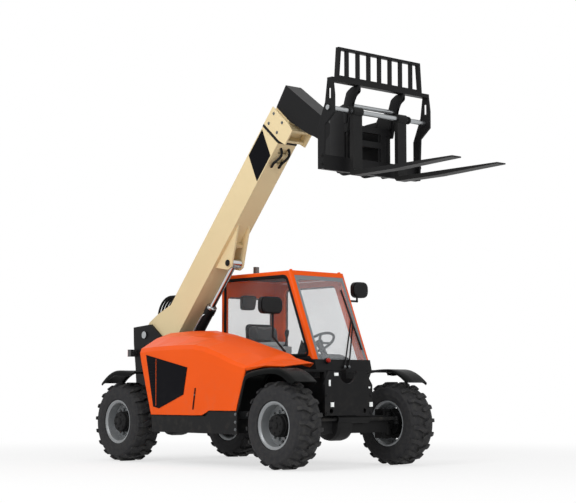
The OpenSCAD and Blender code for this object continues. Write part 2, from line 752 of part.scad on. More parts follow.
// Gooseneck head on the inner boom.
module boom_head() {
    u0 = boom_len + 10;
    line = [[u0, boom_top - 30], [u0 + 250, boom_top - 4], [u0 + 276, boom_top - 330],
        [u0 + 310, -head_drop + 330], [u0 + 335, -head_drop], [head_u, -head_drop - 80],
        [head_u - 90, -head_drop + 40], [u0 + 90, -head_drop + 330], [u0 + 60, boom_top - 620],
        [u0, boom_bot + 20]];
    inner = [[u0 + 20, boom_top - 50], [u0 + 230, boom_top - 30], [u0 + 258, boom_top - 330],
        [u0 + 292, -head_drop + 330], [head_u + 100, -head_drop - 100], [head_u - 60, -head_drop - 100],
        [head_u - 70, -head_drop + 50], [u0 + 110, -head_drop + 340], [u0 + 80, boom_top - 620],
        [u0 + 20, boom_bot + 30]];
    color(black) in_boom() difference() {
        union() {
            xz_plate(line, -105, 210);
            for (s = [-1, 1])
                y_rod([head_u, -head_drop], 82, s < 0 ? -105 : 85, s < 0 ? -85 : 105);
        }
        xz_plate(inner, -85, 170);
        y_rod([head_u, -head_drop], tilt_pin_r + run_fit, -106, 106);
        box([u0 + 60, -55, boom_top - 80], [u0 + 200, 55, boom_top + 10]);
    }
}

// Levelling link on the tilt pin, inside the gooseneck.
module level_link() {
    color(steel) in_carriage() difference() {
        union() {
            y_rod([0, 0], 54, -60, 60);
            xz_plate([for (p = [[-22, 0], [22, 0], [22, -74], [-22, -74]]) turned(p, boom_angle)], -60, 120);
        }
        y_rod([0, 0], tilt_pin_r + run_fit, -61, 61);
    }
}

// Fork carriage: tilt pin and ears, hook arms, side plates, lower bar and middle frame.
module carriage() {
    half = carriage_w / 2;
    post = [[300, -350], [375, -350], [395, 60], [520, 160], [520, 330], [500, 478], [430, 478], [400, 270],
        [300, 40]];
    ear = [[-70, -30], [0, -80], [200, -345], [330, -345], [330, 120], [120, 100], [-30, 76]];
    color(black) in_carriage() difference() {
        union() {
            y_rod([0, 0], tilt_pin_r, -150, 150);
            for (s = [-1, 1])
                xz_plate(ear, s < 0 ? -136 : 112, 24);
            for (s = [-1, 1])
                xz_plate(post, s < 0 ? -half : half - 22, 22);
            box([300, -half, -350], [340, half, -210]);
            for (s = [-1, 1])
                box([300, s < 0 ? -200 : 136, -345], [340, s < 0 ? -136 : 200, 120]);
            box([300, -200, 60], [340, 200, 120]);
            box([300, -200, -80], [340, 200, -20]);
            for (s = [-1, 1])
                xz_plate([[300, 40], [340, 40], [400, 300], [500, 440], [500, 478], [450, 478], [340, 330]],
                    s * 300 - 12, 24);
            box([300, -312, 60], [340, 312, 120]);
            box([430, -half, 462], [500, half, 500]);
        }
        y_rod(shaft, shaft_r + run_fit, -half - 1, half + 1);
        y_rod(guard_bar, guard_bar_r + run_fit, -320, 320);
        for (s = [-1, 1])
            box([440, s < 0 ? -half - 1 : half - 30, 300], [480, s < 0 ? -half + 30 : half + 1, 400]);
    }
}

// Load guard: trapezoid frame with upright bars.
module load_guard() {
    foot = 575;
    head = 552;
    z0 = 500;
    z1 = z0 + guard_h;
    color(black) in_carriage() translate([440, 0, 0]) union() {
        difference() {
            yz_plate([[-foot, z0], [foot, z0], [head, z1], [-head, z1]], 0, 40);
            yz_plate([[-foot + 34, z0 + 30], [foot - 34, z0 + 30], [head - 32, z1 - 26],
                [-head + 32, z1 - 26]], -1, 42);
        }
        for (i = [1:guard_bars]) {
            y = -foot + i * 2 * foot / (guard_bars + 1);
            box([8, y - 20, z0 + 10], [32, y + 20, z1 - 10]);
        }
    }
}

// Round shaft that carries the forks, and the plain bar between the hook arms behind it.
module fork_shaft() {
    half = carriage_w / 2;
    color(steel) in_carriage() {
        y_rod(shaft, shaft_r, -half - 16, half + 16);
        y_rod(guard_bar, guard_bar_r, -318, 318);
    }
}

// Both forks, each with its eye on the shaft.
module forks() {
    color(black) for (s = [-1, 1])
        in_carriage() translate([0, s * fork_pitch / 2 - fork_w / 2, 0]) fork();
}

// One fork: eye, shank and tapered blade.
module fork() {
    x0 = shaft.x - shank_t / 2;
    x1 = x0 + shank_t;
    difference() {
        union() {
            y_rod(shaft, 46, 0, fork_w);
            xz_plate([[x0, fork_bot + 20], [x0 + 20, fork_bot], [x1 + fork_len * 0.4, fork_bot],
                [x1 + fork_len, fork_bot + 30], [x1 + fork_len, fork_bot + 42], [x1 + 16, fork_bot + 42],
                [x1, fork_bot + 58], [x1, shaft.y], [x0, shaft.y]], 0, fork_w);
        }
        y_rod(shaft, shaft_r + run_fit, -1, fork_w + 1);
    }
}

// Lift cylinder barrel with its lower eye.
module lift_barrel() {
    color(black) in_cylinder() difference() {
        union() {
            y_rod([0, 0], 62, -50, 50);
            x_rod([0, 0], barrel_r, 30, barrel_len - 60);
            x_rod([0, 0], barrel_r + 6, barrel_len - 60, barrel_len);
        }
        y_rod([0, 0], cyl_pin_r + run_fit, -51, 51);
        x_rod([0, 0], rod_r + run_fit, 120, barrel_len + 1);
    }
}

// Lift cylinder rod with its upper eye.
module lift_rod() {
    color(steel) in_cylinder() union() {
        x_rod([0, 0], rod_r, cyl_len - 860, cyl_len);
        y_rod([cyl_len, 0], eye_r, -60, 60);
    }
}

// Tyre with its lugs, fused to the carcass.
module tyre(end, side) {
    w = tyre_w / 2;
    r = tyre_r - lug_h;
    color(rubber) to_end(end) to_side(side) translate([axle_x, wheel_y, tyre_r]) union() {
        y_turned([[214, -w + 34], [231, -w + 27], [236, -w + 10], [290, -w], [350, -w + 4], [r - 14, -w + 22],
            [r, -w + 60], [r, w - 60], [r - 14, w - 22], [350, w - 4], [290, w], [236, w - 10], [231, w - 27],
            [214, w - 34],
            [232, w - 40], [340, w - 30], [360, 0], [340, -w + 30], [232, -w + 40]]);
        intersection() {
            union() {
                for (s = [-1, 1]) for (i = [0:lugs - 1])
                    rotate([0, (i + s * 0.25) * 360 / lugs, 0]) lug(s);
            }
            y_turned([[r - 40, -w], [tyre_r - 26, -w + 2], [tyre_r, -w + 50], [tyre_r, w - 50],
                [tyre_r - 26, w - 2], [r - 40, w]]);
        }
    }
}

// One tread lug, from the shoulder to just past the middle.
module lug(s) {
    w = tyre_w / 2;
    pitch = 2 * PI * tyre_r / lugs;
    translate([0, 0, tyre_r - lug_h - 16]) linear_extrude(lug_h + 26)
        polygon([for (p = [[-0.12, 1.0], [0.12, 1.0], [0.16, 0.55], [0.38, 0.12], [0.34, -0.08],
            [0.14, -0.08], [-0.12, 0.45]]) [p.x * pitch, s * p.y * (w - 6)]]);
}
module tyre_front_right() { tyre(1, -1); }
module tyre_front_left() { tyre(1, 1); }
module tyre_rear_right() { tyre(-1, -1); }
module tyre_rear_left() { tyre(-1, 1); }

// Steel rim with its dished disc.
module rim(end, side) {
    w = tyre_w / 2 - 20;
    color(silver) to_end(end) to_side(side) translate([axle_x, wheel_y, tyre_r]) difference() {
        y_turned([[229, -w + 4], [229, -w], [214, -w], [200, -w + 14], [200, 4], [110, 4], [110, 18],
            [198, 18], [198, w - 14], [214, w], [229, w], [229, w - 4], [216, w - 8], [210, w - 22],
            [210, -w + 22], [216, -w + 8]]);
        for (a = [0:45:315]) rotate([0, a, 0]) y_rod([155, 0], 20, 0, 30);
    }
}
module rim_front_right() { rim(1, -1); }
module rim_front_left() { rim(1, 1); }
module rim_rear_right() { rim(-1, -1); }
module rim_rear_left() { rim(-1, 1); }

// Wheel hub that turns on the stub axle.
module hub(end, side) {
    bore = 60 + run_fit;
    back = kingpin_boss + move_gap - kingpin_set;
    color(black) to_end(end) to_side(side) translate([axle_x, wheel_y, tyre_r])
        y_turned([[bore, back], [112, back], [112, -20], [150, -20], [150, 4], [110 - seat_gap, 4],
            [110 - seat_gap, 66], [92, 78], [0, 78], [0, -46], [bore, -46]]);
}
module hub_front_right() { hub(1, -1); }
module hub_front_left() { hub(1, 1); }
module hub_rear_right() { hub(-1, -1); }
module hub_rear_left() { hub(-1, 1); }

chassis_frame();
engine_block();
side_tank();
axles();
fenders();
cab_tub();
cab_frame();
cab_roof();
windscreen();
cab_glass();
dash();
steering_wheel();
seat_base();
seat();
side_console();
mirrors();
wiper();
lamps();
boom_hoses();
hood();
hood_panel();
door();
door_glass();
boom_outer();
boom_inner();
boom_head();
level_link();
carriage();
load_guard();
fork_shaft();
forks();
lift_barrel();
lift_rod();
steer_rod_front();
steer_rod_rear();
knuckle_front_right();
knuckle_front_left();
knuckle_rear_right();
knuckle_rear_left();
tyre_front_right();
tyre_front_left();
tyre_rear_right();
tyre_rear_left();
rim_front_right();
rim_front_left();
rim_rear_right();
rim_rear_left();
hub_front_right();
hub_front_left();
hub_rear_right();
hub_rear_left();
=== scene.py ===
"""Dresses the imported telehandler: a finish for every solid, fine pieces, camera and studio light.

Metres throughout. X points forward, Y to the machine's left, Z up, and the ground is at zero.
"""
import logging
import math
from dataclasses import dataclass, field
from enum import Enum
from functools import cache, reduce
from typing import Any, Iterable, Mapping, Sequence

import bpy
import numpy as np
from mathutils import Matrix, Vector
from mathutils.geometry import tessellate_polygon


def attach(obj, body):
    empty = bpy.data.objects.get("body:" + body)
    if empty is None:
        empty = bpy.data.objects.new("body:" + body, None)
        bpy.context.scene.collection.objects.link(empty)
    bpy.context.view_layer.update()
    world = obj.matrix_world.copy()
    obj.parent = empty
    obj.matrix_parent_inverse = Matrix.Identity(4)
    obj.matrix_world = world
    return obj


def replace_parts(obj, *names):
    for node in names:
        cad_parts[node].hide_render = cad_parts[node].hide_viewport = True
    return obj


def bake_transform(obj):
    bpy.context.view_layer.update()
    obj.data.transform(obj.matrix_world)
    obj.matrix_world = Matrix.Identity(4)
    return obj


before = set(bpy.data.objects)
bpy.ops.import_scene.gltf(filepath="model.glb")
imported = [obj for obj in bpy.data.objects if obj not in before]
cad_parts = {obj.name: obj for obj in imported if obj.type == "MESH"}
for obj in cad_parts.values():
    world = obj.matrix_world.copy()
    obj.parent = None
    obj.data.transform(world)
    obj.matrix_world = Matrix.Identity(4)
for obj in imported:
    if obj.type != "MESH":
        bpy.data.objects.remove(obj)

LOG = logging.getLogger("telehandler")
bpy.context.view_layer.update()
X, Y, Z = np.eye(3)
Point = np.ndarray | tuple[float, float, float]

# Names and signs of the two sides, and the names of the two ends.
SIDES = (("right", -1), ("left", 1))
ENDS = ("front", "rear")

# Axles' distance from the middle, the boom's plane, and the pins that more than one assembly shares.
AXLE_X = 1.265
BOOM_Y = -0.1
BOOM_PIVOT = np.array([-1.65, BOOM_Y, 1.36])
LIFT_FOOT = np.array([-1.33, BOOM_Y, 0.85])
LIFT_EYE = np.array([-0.27296, BOOM_Y, 2.0829])
TILT_PIN = np.array([1.44179, BOOM_Y, 3.15619])


def linear(code: str) -> tuple[float, float, float, float]:
    """Turns a written hex colour into the linear values that a shader takes.

    Args:
        code: The colour as #rrggbb.

    Returns:
        Red, green, blue and an alpha of one.
    """
    srgb = np.array([int(code[i:i + 2], 16) for i in (1, 3, 5)]) / 255.0
    rgb = np.where(srgb <= 0.04045, srgb / 12.92, ((srgb + 0.055) / 1.055) ** 2.4)
    return (float(rgb[0]), float(rgb[1]), float(rgb[2]), 1.0)


def unit(vectors: Point) -> np.ndarray:
    """Vectors divided by their lengths."""
    return vectors / np.linalg.norm(vectors, axis=-1, keepdims=True)


class Value:
    """A shader socket that takes part in Python expressions; each operator adds a Math node."""

    def __init__(self, shader: "Nodes", socket: bpy.types.NodeSocket) -> None:
        """Keeps the tree and the socket."""
        self.shader = shader
        self.socket = socket

    def maths(self, operation: str, *others: Any) -> "Value":
        """Adds a Math node.

        Args:
            operation: The node's operation.
            others: The node's further inputs, sockets or numbers.

        Returns:
            The node's result.
        """
        return self.shader.add("ShaderNodeMath", {"operation": operation}, (self, *others))

    def __add__(self, other: Any) -> "Value":
        """Sum."""
        return self.maths("ADD", other)

    __radd__ = __add__

    def __mul__(self, other: Any) -> "Value":
        """Product."""
        return self.maths("MULTIPLY", other)

    def __sub__(self, other: Any) -> "Value":
        """Difference."""
        return self.maths("SUBTRACT", other)

    def __rsub__(self, other: Any) -> "Value":
        """Difference from a number."""
        return self.shader.add("ShaderNodeMath", {"operation": "SUBTRACT"}, (other, self))

    def above(self, edge: float, soft: float) -> "Value":
        """A mask that rises smoothly from 0 to 1 as this value passes an edge.

        Args:
            edge: Where the mask is one half.
            soft: Width of the rise.

        Returns:
            The mask.
        """
        return self.shader.add("ShaderNodeMapRange", {"interpolation_type": "SMOOTHSTEP"},
                               {0: self, 1: edge - soft / 2, 2: edge + soft / 2})


class Nodes:
    """A node tree that is written as expressions."""

    def __init__(self, tree: bpy.types.NodeTree) -> None:
        """Keeps the tree."""
        self.tree = tree

    def feed(self, socket: bpy.types.NodeSocket, value: Any) -> None:
        """Links a Value to a socket, or sets the socket to a number, a vector, or a colour, also in hex."""
        if isinstance(value, Value):
            self.tree.links.new(value.socket, socket)
        else:
            socket.default_value = linear(value) if isinstance(value, str) else value

    def add(self, kind: str, settings: Mapping[str, Any] | None = None,
            inputs: Mapping[Any, Any] | Sequence[Any] = (), output: int | str = 0) -> Value:
        """Adds one node.

        Args:
            kind: The node's type.
            settings: Its properties, set first.
            inputs: Its sockets' values or links, by name or number, or in order.
            output: The output that is wanted.

        Returns:
            That output.
        """
        made = self.tree.nodes.new(kind)
        for key, value in (settings or {}).items():
            setattr(made, key, value)
        pairs = inputs.items() if isinstance(inputs, Mapping) else enumerate(inputs)
        for key, value in pairs:
            self.feed(made.inputs[key], value)
        return Value(self, made.outputs[output])

    def seen(self) -> Value:
        """1 for a ray from the camera, off a gloss or through glass, and 0 for any other."""
        rays = self.add("ShaderNodeLightPath").socket.node.outputs
        kinds = ("Camera", "Glossy", "Transmission")
        camera, gloss, glass = (Value(self, rays[f"Is {kind} Ray"]) for kind in kinds)
        return camera.maths("MAXIMUM", gloss).maths("MAXIMUM", glass)


class Shader(Nodes):
    """A material with one Principled surface."""

    def __init__(self, name: str) -> None:
        """Makes the material.

        Args:
            name: The material's name.
        """
        self.material = bpy.data.materials.new(name)
        self.material.use_nodes = True
        super().__init__(self.material.node_tree)
        self.tree.nodes.clear()
        self.surface = self.tree.nodes.new("ShaderNodeBsdfPrincipled")
        output = self.tree.nodes.new("ShaderNodeOutputMaterial")
        self.tree.links.new(self.surface.outputs[0], output.inputs[0])

    def place(self) -> Value:
        """Object coordinates, which are the machine's own frame."""
        return self.add("ShaderNodeTexCoord", output="Object")

    def parts(self) -> tuple[Value, Value, Value]:
        """X, Y and Z of the object coordinates."""
        node = self.add("ShaderNodeSeparateXYZ", None, (self.place(),)).socket.node
        return tuple(Value(self, node.outputs[i]) for i in range(3))

    def noise(self, scale: float, detail: float = 3.0, stretch: Sequence[float] = (1, 1, 1)) -> Value:
        """Noise over the object coordinates.

        Args:
            scale: Lumps per metre.
            detail: Octaves.
            stretch: Factors on the three axes.

        Returns:
            A value about one half.
        """
        spot = self.place()
        if tuple(stretch) != (1, 1, 1):
            spot = self.add("ShaderNodeMapping", None, {"Vector": spot, "Scale": tuple(stretch)})
        return self.add("ShaderNodeTexNoise", None, {"Vector": spot, "Scale": scale, "Detail": detail})

    def blend(self, mask: Any, low: Any, high: Any) -> Value:
        """Mixes two colours: low where the mask is 0 and high where it is 1."""
        return self.add("ShaderNodeMix", {"data_type": "RGBA"}, {0: mask, 6: low, 7: high}, 2)

    def bump(self, height: Value, strength: float, depth: float, round_edge: float = 0.0) -> Value:
        """A bumped normal.

        Args:
            height: The relief.
            strength: How much of it shows.
            depth: Its depth in metres.
            round_edge: Radius that rounds the look of sharp edges, or 0.

        Returns:
            The normal.
        """
        inputs: dict[str, Any] = {"Height": height, "Strength": strength, "Distance": depth}
        if round_edge:
            inputs["Normal"] = self.add("ShaderNodeBevel", {"samples": 4}, {"Radius": round_edge})
        return self.add("ShaderNodeBump", None, inputs)

    def set(self, **sockets: Any) -> "Shader":
        """Feeds the surface's sockets, named with underscores for spaces."""
        for key, value in sockets.items():
            self.feed(self.surface.inputs[key.replace("_", " ")], value)
        return self


@dataclass(frozen=True)
class Enamel:
    """Paint on metal: a small drift of shade, dust in the lower parts, orange peel and rounded edges."""

    name: str
    colour: str
    shade: str
    rough: float = 0.38
    coat: float = 0.25
    metal: float = 0.0
    peel: float = 0.05
    edge: float = 0.004
    gloss: float = 0.3
    dusty: float = 0.12

    def material(self) -> bpy.types.Material:
        """Builds the paint's nodes; dust is a noise mask that fades out a metre above the ground."""
        s = Shader(self.name)
        _, _, z = s.parts()
        drift = s.noise(2.6, 4.0).above(0.5, 0.5)
        fine = s.noise(420.0, 2.0)
        dust = s.noise(14.0, 6.0).above(0.6, 0.3) * (1 - z.above(0.6, 0.9)) * self.dusty
        paint = s.blend(drift * 0.5, self.colour, self.shade)
        s.set(Base_Color=s.blend(dust, paint, "#8d8578"),
              Roughness=self.rough + (s.noise(9.0, 5.0) - 0.5) * 0.12 + dust, Specular_IOR_Level=self.gloss,
              Metallic=self.metal, Coat_Weight=self.coat, Coat_Roughness=0.12,
              Normal=s.bump(fine, self.peel, 0.0006, self.edge))
        return s.material


@dataclass(frozen=True)
class Moulded:
    """Moulded plastic or cast metal: a grained skin whose high points are a little rougher."""

    name: str
    colour: str
    shade: str
    rough: float = 0.6
    grain: float = 260.0
    depth: float = 0.25
    metal: float = 0.0
    edge: float = 0.004
    gloss: float = 0.25

    def material(self) -> bpy.types.Material:
        """Builds the grain's nodes."""
        s = Shader(self.name)
        grain = s.noise(self.grain, 4.0)
        drift = s.noise(3.0, 3.0).above(0.5, 0.4)
        s.set(Base_Color=s.blend(drift, self.colour, self.shade),
              Roughness=self.rough + (grain - 0.5) * 0.2, Metallic=self.metal, Specular_IOR_Level=self.gloss,
              Normal=s.bump(grain, self.depth, 0.001, self.edge))
        return s.material


@dataclass(frozen=True)
class Chrome:
    """Bright turned steel with faint rings across its axis."""

    name: str
    colour: str
    rough: float = 0.16
    axis: tuple[float, float, float] = (1.0, 0.0, 0.0)
    edge: float = 0.002

    def material(self) -> bpy.types.Material:
        """Builds the turned steel's nodes."""
        s = Shader(self.name)
        rings = s.noise(30.0, 3.0, tuple(8.0 * abs(a) + 0.6 for a in self.axis))
        s.set(Base_Color=self.colour, Metallic=1.0,
              Roughness=self.rough + (rings - 0.5) * 0.16,
              Normal=s.bump(rings, 0.04, 0.0004, self.edge))
        return s.material


@dataclass(frozen=True)
class Tyre:
    """Tyre rubber: dusty, most of all on the tread, with fine ribs round the bead."""

    name: str
    centre: tuple[float, float, float]
    colour: str = "#2b2b2d"
    worn: str = "#42413f"

    def material(self) -> bpy.types.Material:
        """Ribs are a sine of the distance from the wheel's axis, kept to the sidewall's radii."""
        s = Shader(self.name)
        x, _, z = s.parts()
        dx, dz = x - self.centre[0], z - self.centre[2]
        radius = (dx * dx + dz * dz).maths("SQRT")
        ribs = (radius * 520.0).maths("SINE") * radius.above(0.245, 0.01) * (1 - radius.above(0.3, 0.01))
        dust = s.noise(22.0, 6.0)
        tread = radius.above(0.385, 0.02)
        s.set(Base_Color=s.blend(dust.above(0.52, 0.35) * (0.35 + tread * 0.3),
                                 self.colour, self.worn),
              Roughness=0.72 + (dust - 0.5) * 0.25, Specular_IOR_Level=0.14,
              Normal=s.bump(ribs * 0.6 + s.noise(300.0, 3.0) * 0.4, 0.35, 0.0015, 0.005))
        return s.material


@dataclass(frozen=True)
class Glazing:
    """Window glass with a grey tint, fuller behind a plane, and a printed border where a box is given.

    The border has its width along the box's two sides, 1.4 times that along its top and none along its foot.
    """

    name: str
    tint: str = "#cfd5d9"
    fine: float = 0.06
    full: float = 0.55
    full_from: float = -9.0
    box: tuple[float, float, float, float] | None = None
    border: float = 0.03

    def material(self) -> bpy.types.Material:
        """Builds the tint and the printed border."""
        s = Shader(self.name)
        x, y, z = s.parts()
        haze = (s.noise(3.0, 3.0) - 0.5) * 0.06
        alpha = self.full - x.above(self.full_from, 0.02) * (self.full - self.fine) + haze
        tint = s.blend(s.noise(1.4).above(0.5, 0.8) * 0.4, self.tint, "#c2c9ce")
        if self.box:
            y0, y1, z0, z1 = self.box
            inner = (y.above(y0 + self.border, 0.004) * (1 - y.above(y1 - self.border, 0.004))
                     * z.above(z0, 0.004) * (1 - z.above(z1 - 1.4 * self.border, 0.004)))
            tint = s.blend(inner, "#7b8083", tint)
            alpha = alpha * inner + (1 - inner) * 0.94
        s.set(Base_Color=tint, Alpha=alpha, Roughness=0.06, Specular_IOR_Level=0.3)
        return s.material


@dataclass(frozen=True)
class Lens:
    """Lamp lenses with upright flutes: clear in front, smoked amber on the roof and red at the back."""

    name: str
    colour: str
    roof: str
    back: str
    glow: float = 0.1

    def material(self) -> bpy.types.Material:
        """Flutes are a sine across the lens, and the colours change at a height and behind a plane."""
        s = Shader(self.name)
        x, y, z = s.parts()
        flutes = (y * 900.0).maths("SINE")
        tint = s.blend(s.noise(60.0).above(0.5, 0.6) * 0.3, self.colour, "#f4f4f0")
        cap = s.blend(z.above(2.006, 0.004), "#2a2a2b", self.roof)
        tint = s.blend(z.above(1.9, 0.01), tint, cap)
        rear = s.blend(x.above(-1.845, 0.001), self.back, "#151516")
        tint = s.blend(x.above(-1.6, 0.01), rear, tint)
        s.set(Base_Color=tint, Roughness=0.2, Coat_Weight=0.5, Emission_Color=tint,
              Emission_Strength=self.glow, Normal=s.bump(flutes, 0.3, 0.002))
        return s.material


@dataclass(frozen=True)
class Cloth:
    """Woven seat cloth: two crossed waves for the threads over a soft drift of shade."""

    name: str
    colour: str
    shade: str

    def material(self) -> bpy.types.Material:
        """Threads are the product of sines along the seat's length and width."""
        s = Shader(self.name)
        x, y, z = s.parts()
        weave = ((x + z) * 2600.0).maths("SINE") * (y * 2600.0).maths("SINE")
        threads = weave * 0.3 + s.noise(40.0, 5.0) * 0.6
        s.set(Base_Color=s.blend(threads, self.colour, self.shade),
              Roughness=0.85 + weave * 0.08, Sheen_Weight=0.3,
              Normal=s.bump(weave, 0.5, 0.0008))
        return s.material


class Finish(Enum):
    """Every finish on the machine."""

    ORANGE = Enamel("orange_enamel", "#ee5913", "#e75410", 0.36, 0.02, gloss=0.09)
    TAN = Enamel("tan_enamel", "#e5d1a5", "#dcc89c", 0.45, 0.04, gloss=0.2)
    BLACK = Enamel("black_enamel", "#151516", "#1a1a1b", 0.42, 0.0, gloss=0.11, dusty=0.05)
    PANEL = Enamel("panel_black", "#0b0b10", "#0e0e12", 0.32, 0.0, edge=0.002, gloss=0.035, dusty=0.02)
    SILVER = Enamel("rim_silver", "#8f9294", "#84878a", 0.4, 0.05, 0.3, dusty=0.2)
    FORK = Enamel("fork_black", "#171718", "#232322", 0.48, 0.0, gloss=0.12)
    CAST = Moulded("cast_black", "#161617", "#1d1d1d", 0.55, 180.0, 0.4, gloss=0.12)
    MOULDED = Moulded("moulded_black", "#161617", "#1c1c1d", 0.5, gloss=0.14)
    FENDER = Moulded("fender_black", "#0c0d0d", "#101111", 0.36, 320.0, 0.05, edge=0.003, gloss=0.04)
    TRIM = Moulded("grey_trim", "#b1b6b8", "#a4a9ab", 0.55)
    RUBBER = Moulded("seal_rubber", "#111112", "#171718", 0.6, 500.0, 0.15, gloss=0.12)
    IRON = Moulded("engine_iron", "#55585a", "#45484a", 0.6, 90.0, 0.5, 0.3)
    STEEL = Chrome("bright_steel", "#a9acae", 0.32, (0.0, 1.0, 0.0))
    DULL = Chrome("dull_steel", "#6d7072", 0.42, (0.0, 1.0, 0.0))
    ROD = Chrome("rod_bright", "#c4c6c8", 0.16)
    GLASS = Glazing("side_glass", fine=0.05, full=0.22, full_from=-0.7)
    DOOR_GLASS = Glazing("door_glass_tint", fine=0.22)
    SCREEN = Glazing("screen_glass", "#dde2e6", 0.15, box=(0.134, 0.825, 1.06, 1.935))
    MIRROR = Chrome("mirror_glass", "#dfe4e6", 0.03)
    LAMP = Lens("lamp_glass", "#e9ecec", "#43342f", "#a3150d", 0.15)
    RED = Moulded("red_cap", "#b3210f", "#9d1b0c", 0.4, gloss=0.2)
    CLOTH = Cloth("seat_weave", "#202123", "#37393c")

    @cache
    def material(self) -> bpy.types.Material:
        """The finish's material, built the first time that it is wanted."""
        return self.value.material()


@dataclass(frozen=True)
class Place:
    """A flat frame in space: an origin with a right and an up direction; out is their cross product."""

    origin: Point
    right: np.ndarray
    up: np.ndarray

    def at(self, points: np.ndarray, out: Any = 0.0) -> np.ndarray:
        """Points of the frame's plane, lifted out of it, in the machine's frame.

        Args:
            points: Pairs of right and up.
            out: Height above the plane, one number or one for each point.

        Returns:
            The points in space.
        """
        normal = np.cross(self.right, self.up)
        lift = np.broadcast_to(np.asarray(out, float), points.shape[:-1])
        flat = self.origin + points[..., :1] * self.right + points[..., 1:2] * self.up
        return flat + lift[..., None] * normal


@dataclass
class Surface:
    """A mesh as arrays of points, quads and triangles."""

    points: np.ndarray
    quads: np.ndarray = field(default_factory=lambda: np.empty((0, 4), int))
    tris: np.ndarray = field(default_factory=lambda: np.empty((0, 3), int))

    def outward(self) -> "Surface":
        """Turns every face round if the enclosed volume, summed over the faces, comes out negative."""
        t = np.concatenate([self.tris, self.quads[:, [0, 1, 2]], self.quads[:, [0, 2, 3]]])
        a, b, c = (self.points[t[:, i]] - self.points.mean(0) for i in range(3))
        if np.einsum("ij,ij->i", a, np.cross(b, c)).sum() < 0:
            self.quads, self.tris = self.quads[:, ::-1], self.tris[:, ::-1]
        return self

    def copies(self, offsets: np.ndarray | Sequence[Point]) -> "Surface":
        """The same shape at each of several offsets."""
        n, k = len(self.points), len(offsets)
        step = (np.arange(k) * n)[:, None, None]
        return Surface((self.points[None] + np.asarray(offsets)[:, None]).reshape(-1, 3),
                       (self.quads[None] + step).reshape(-1, 4), (self.tris[None] + step).reshape(-1, 3))

    def __add__(self, other: "Surface") -> "Surface":
        """Both shapes in one mesh."""
        n = len(self.points)
        return Surface(np.concatenate([self.points, other.points]),
                       np.concatenate([self.quads, other.quads + n]),
                       np.concatenate([self.tris, other.tris + n]))

    def mesh(self, name: str, sharp: float = 38.0) -> bpy.types.Object:
        """Puts the arrays into a mesh object at the origin, smooth but for edges sharper than an angle.

        Args:
            name: The object's name.
            sharp: Angle in degrees past which an edge stays sharp.

        Returns:
            The object, linked to the scene.
        """
        mesh = bpy.data.meshes.new(name)
        loops = np.concatenate([self.quads.ravel(), self.tris.ravel()]).astype(np.int32)
        q, t = len(self.quads), len(self.tris)
        starts = np.concatenate([np.arange(q) * 4, q * 4 + np.arange(t) * 3]).astype(np.int32)
        mesh.vertices.add(len(self.points))
        mesh.vertices.foreach_set("co", self.points.astype(np.float32).ravel())
        mesh.loops.add(len(loops))
        mesh.loops.foreach_set("vertex_index", loops)
        mesh.polygons.add(q + t)
        mesh.polygons.foreach_set("loop_start", starts)
        mesh.polygons.foreach_set("use_smooth", np.ones(q + t, bool))
        mesh.update(calc_edges=True)
        mesh.validate()
        mesh.set_sharp_from_angle(angle=math.radians(sharp))
        made = bpy.data.objects.new(name, mesh)
        bpy.context.scene.collection.objects.link(made)
        return made


def sheet(points: np.ndarray, close_u: bool = False, close_v: bool = False) -> Surface:
    """Quads between neighbouring points of a grid.

    Args:
        points: An array of U rows and V columns of points.
        close_u: Joins the last row to the first.
        close_v: Joins the last column to the first.

    Returns:
        The surface.
    """
    nu, nv = points.shape[:2]
    u, v = np.meshgrid(np.arange(nu - (not close_u)), np.arange(nv - (not close_v)), indexing="ij")
    u1, v1 = (u + 1) % nu, (v + 1) % nv
    quads = np.stack([u * nv + v, u1 * nv + v, u1 * nv + v1, u * nv + v1], -1).reshape(-1, 4)
    return Surface(points.reshape(-1, 3), quads)


def filled(ring: np.ndarray) -> np.ndarray:
    """Triangles that fill a flat ring, also where it bends inwards, all turned the way that the ring runs.

    Args:
        ring: The ring's points.

    Returns:
        Triples of the points' numbers.
    """
    tris = np.array(tessellate_polygon([list(map(Vector, ring))]), int).reshape(-1, 3)
    a, b, c = (ring[tris[:, i]] for i in range(3))
    spread = np.cross(ring - ring[0], np.roll(ring, -1, 0) - ring[0]).sum(0)
    return tris if (np.cross(b - a, c - a) @ spread).sum() > 0 else tris[:, ::-1]


def tube(rings: np.ndarray, bent: bool = False) -> Surface:
    """Closed rings joined one to the next, with a fan from each end ring to its mean point.

    Args:
        rings: An array of N rings of M points.
        bent: Fills the ends as outlines that bend inwards instead.

    Returns:
        The closed surface, facing outwards.
    """
    n, m = rings.shape[:2]
    body = sheet(rings, close_v=True)
    if bent:
        ends = np.concatenate([filled(rings[0]), filled(rings[-1])[:, ::-1] + (n - 1) * m])
        return Surface(body.points, body.quads, ends).outward()
    i = np.arange(m)
    j = (i + 1) % m
    first = np.stack([np.full(m, n * m), i, j], -1)
    last = np.stack([np.full(m, n * m + 1), (n - 1) * m + j, (n - 1) * m + i], -1)
    points = np.concatenate([body.points, rings[0].mean(0)[None], rings[-1].mean(0)[None]])
    return Surface(points, body.quads, np.concatenate([first, last])).outward()


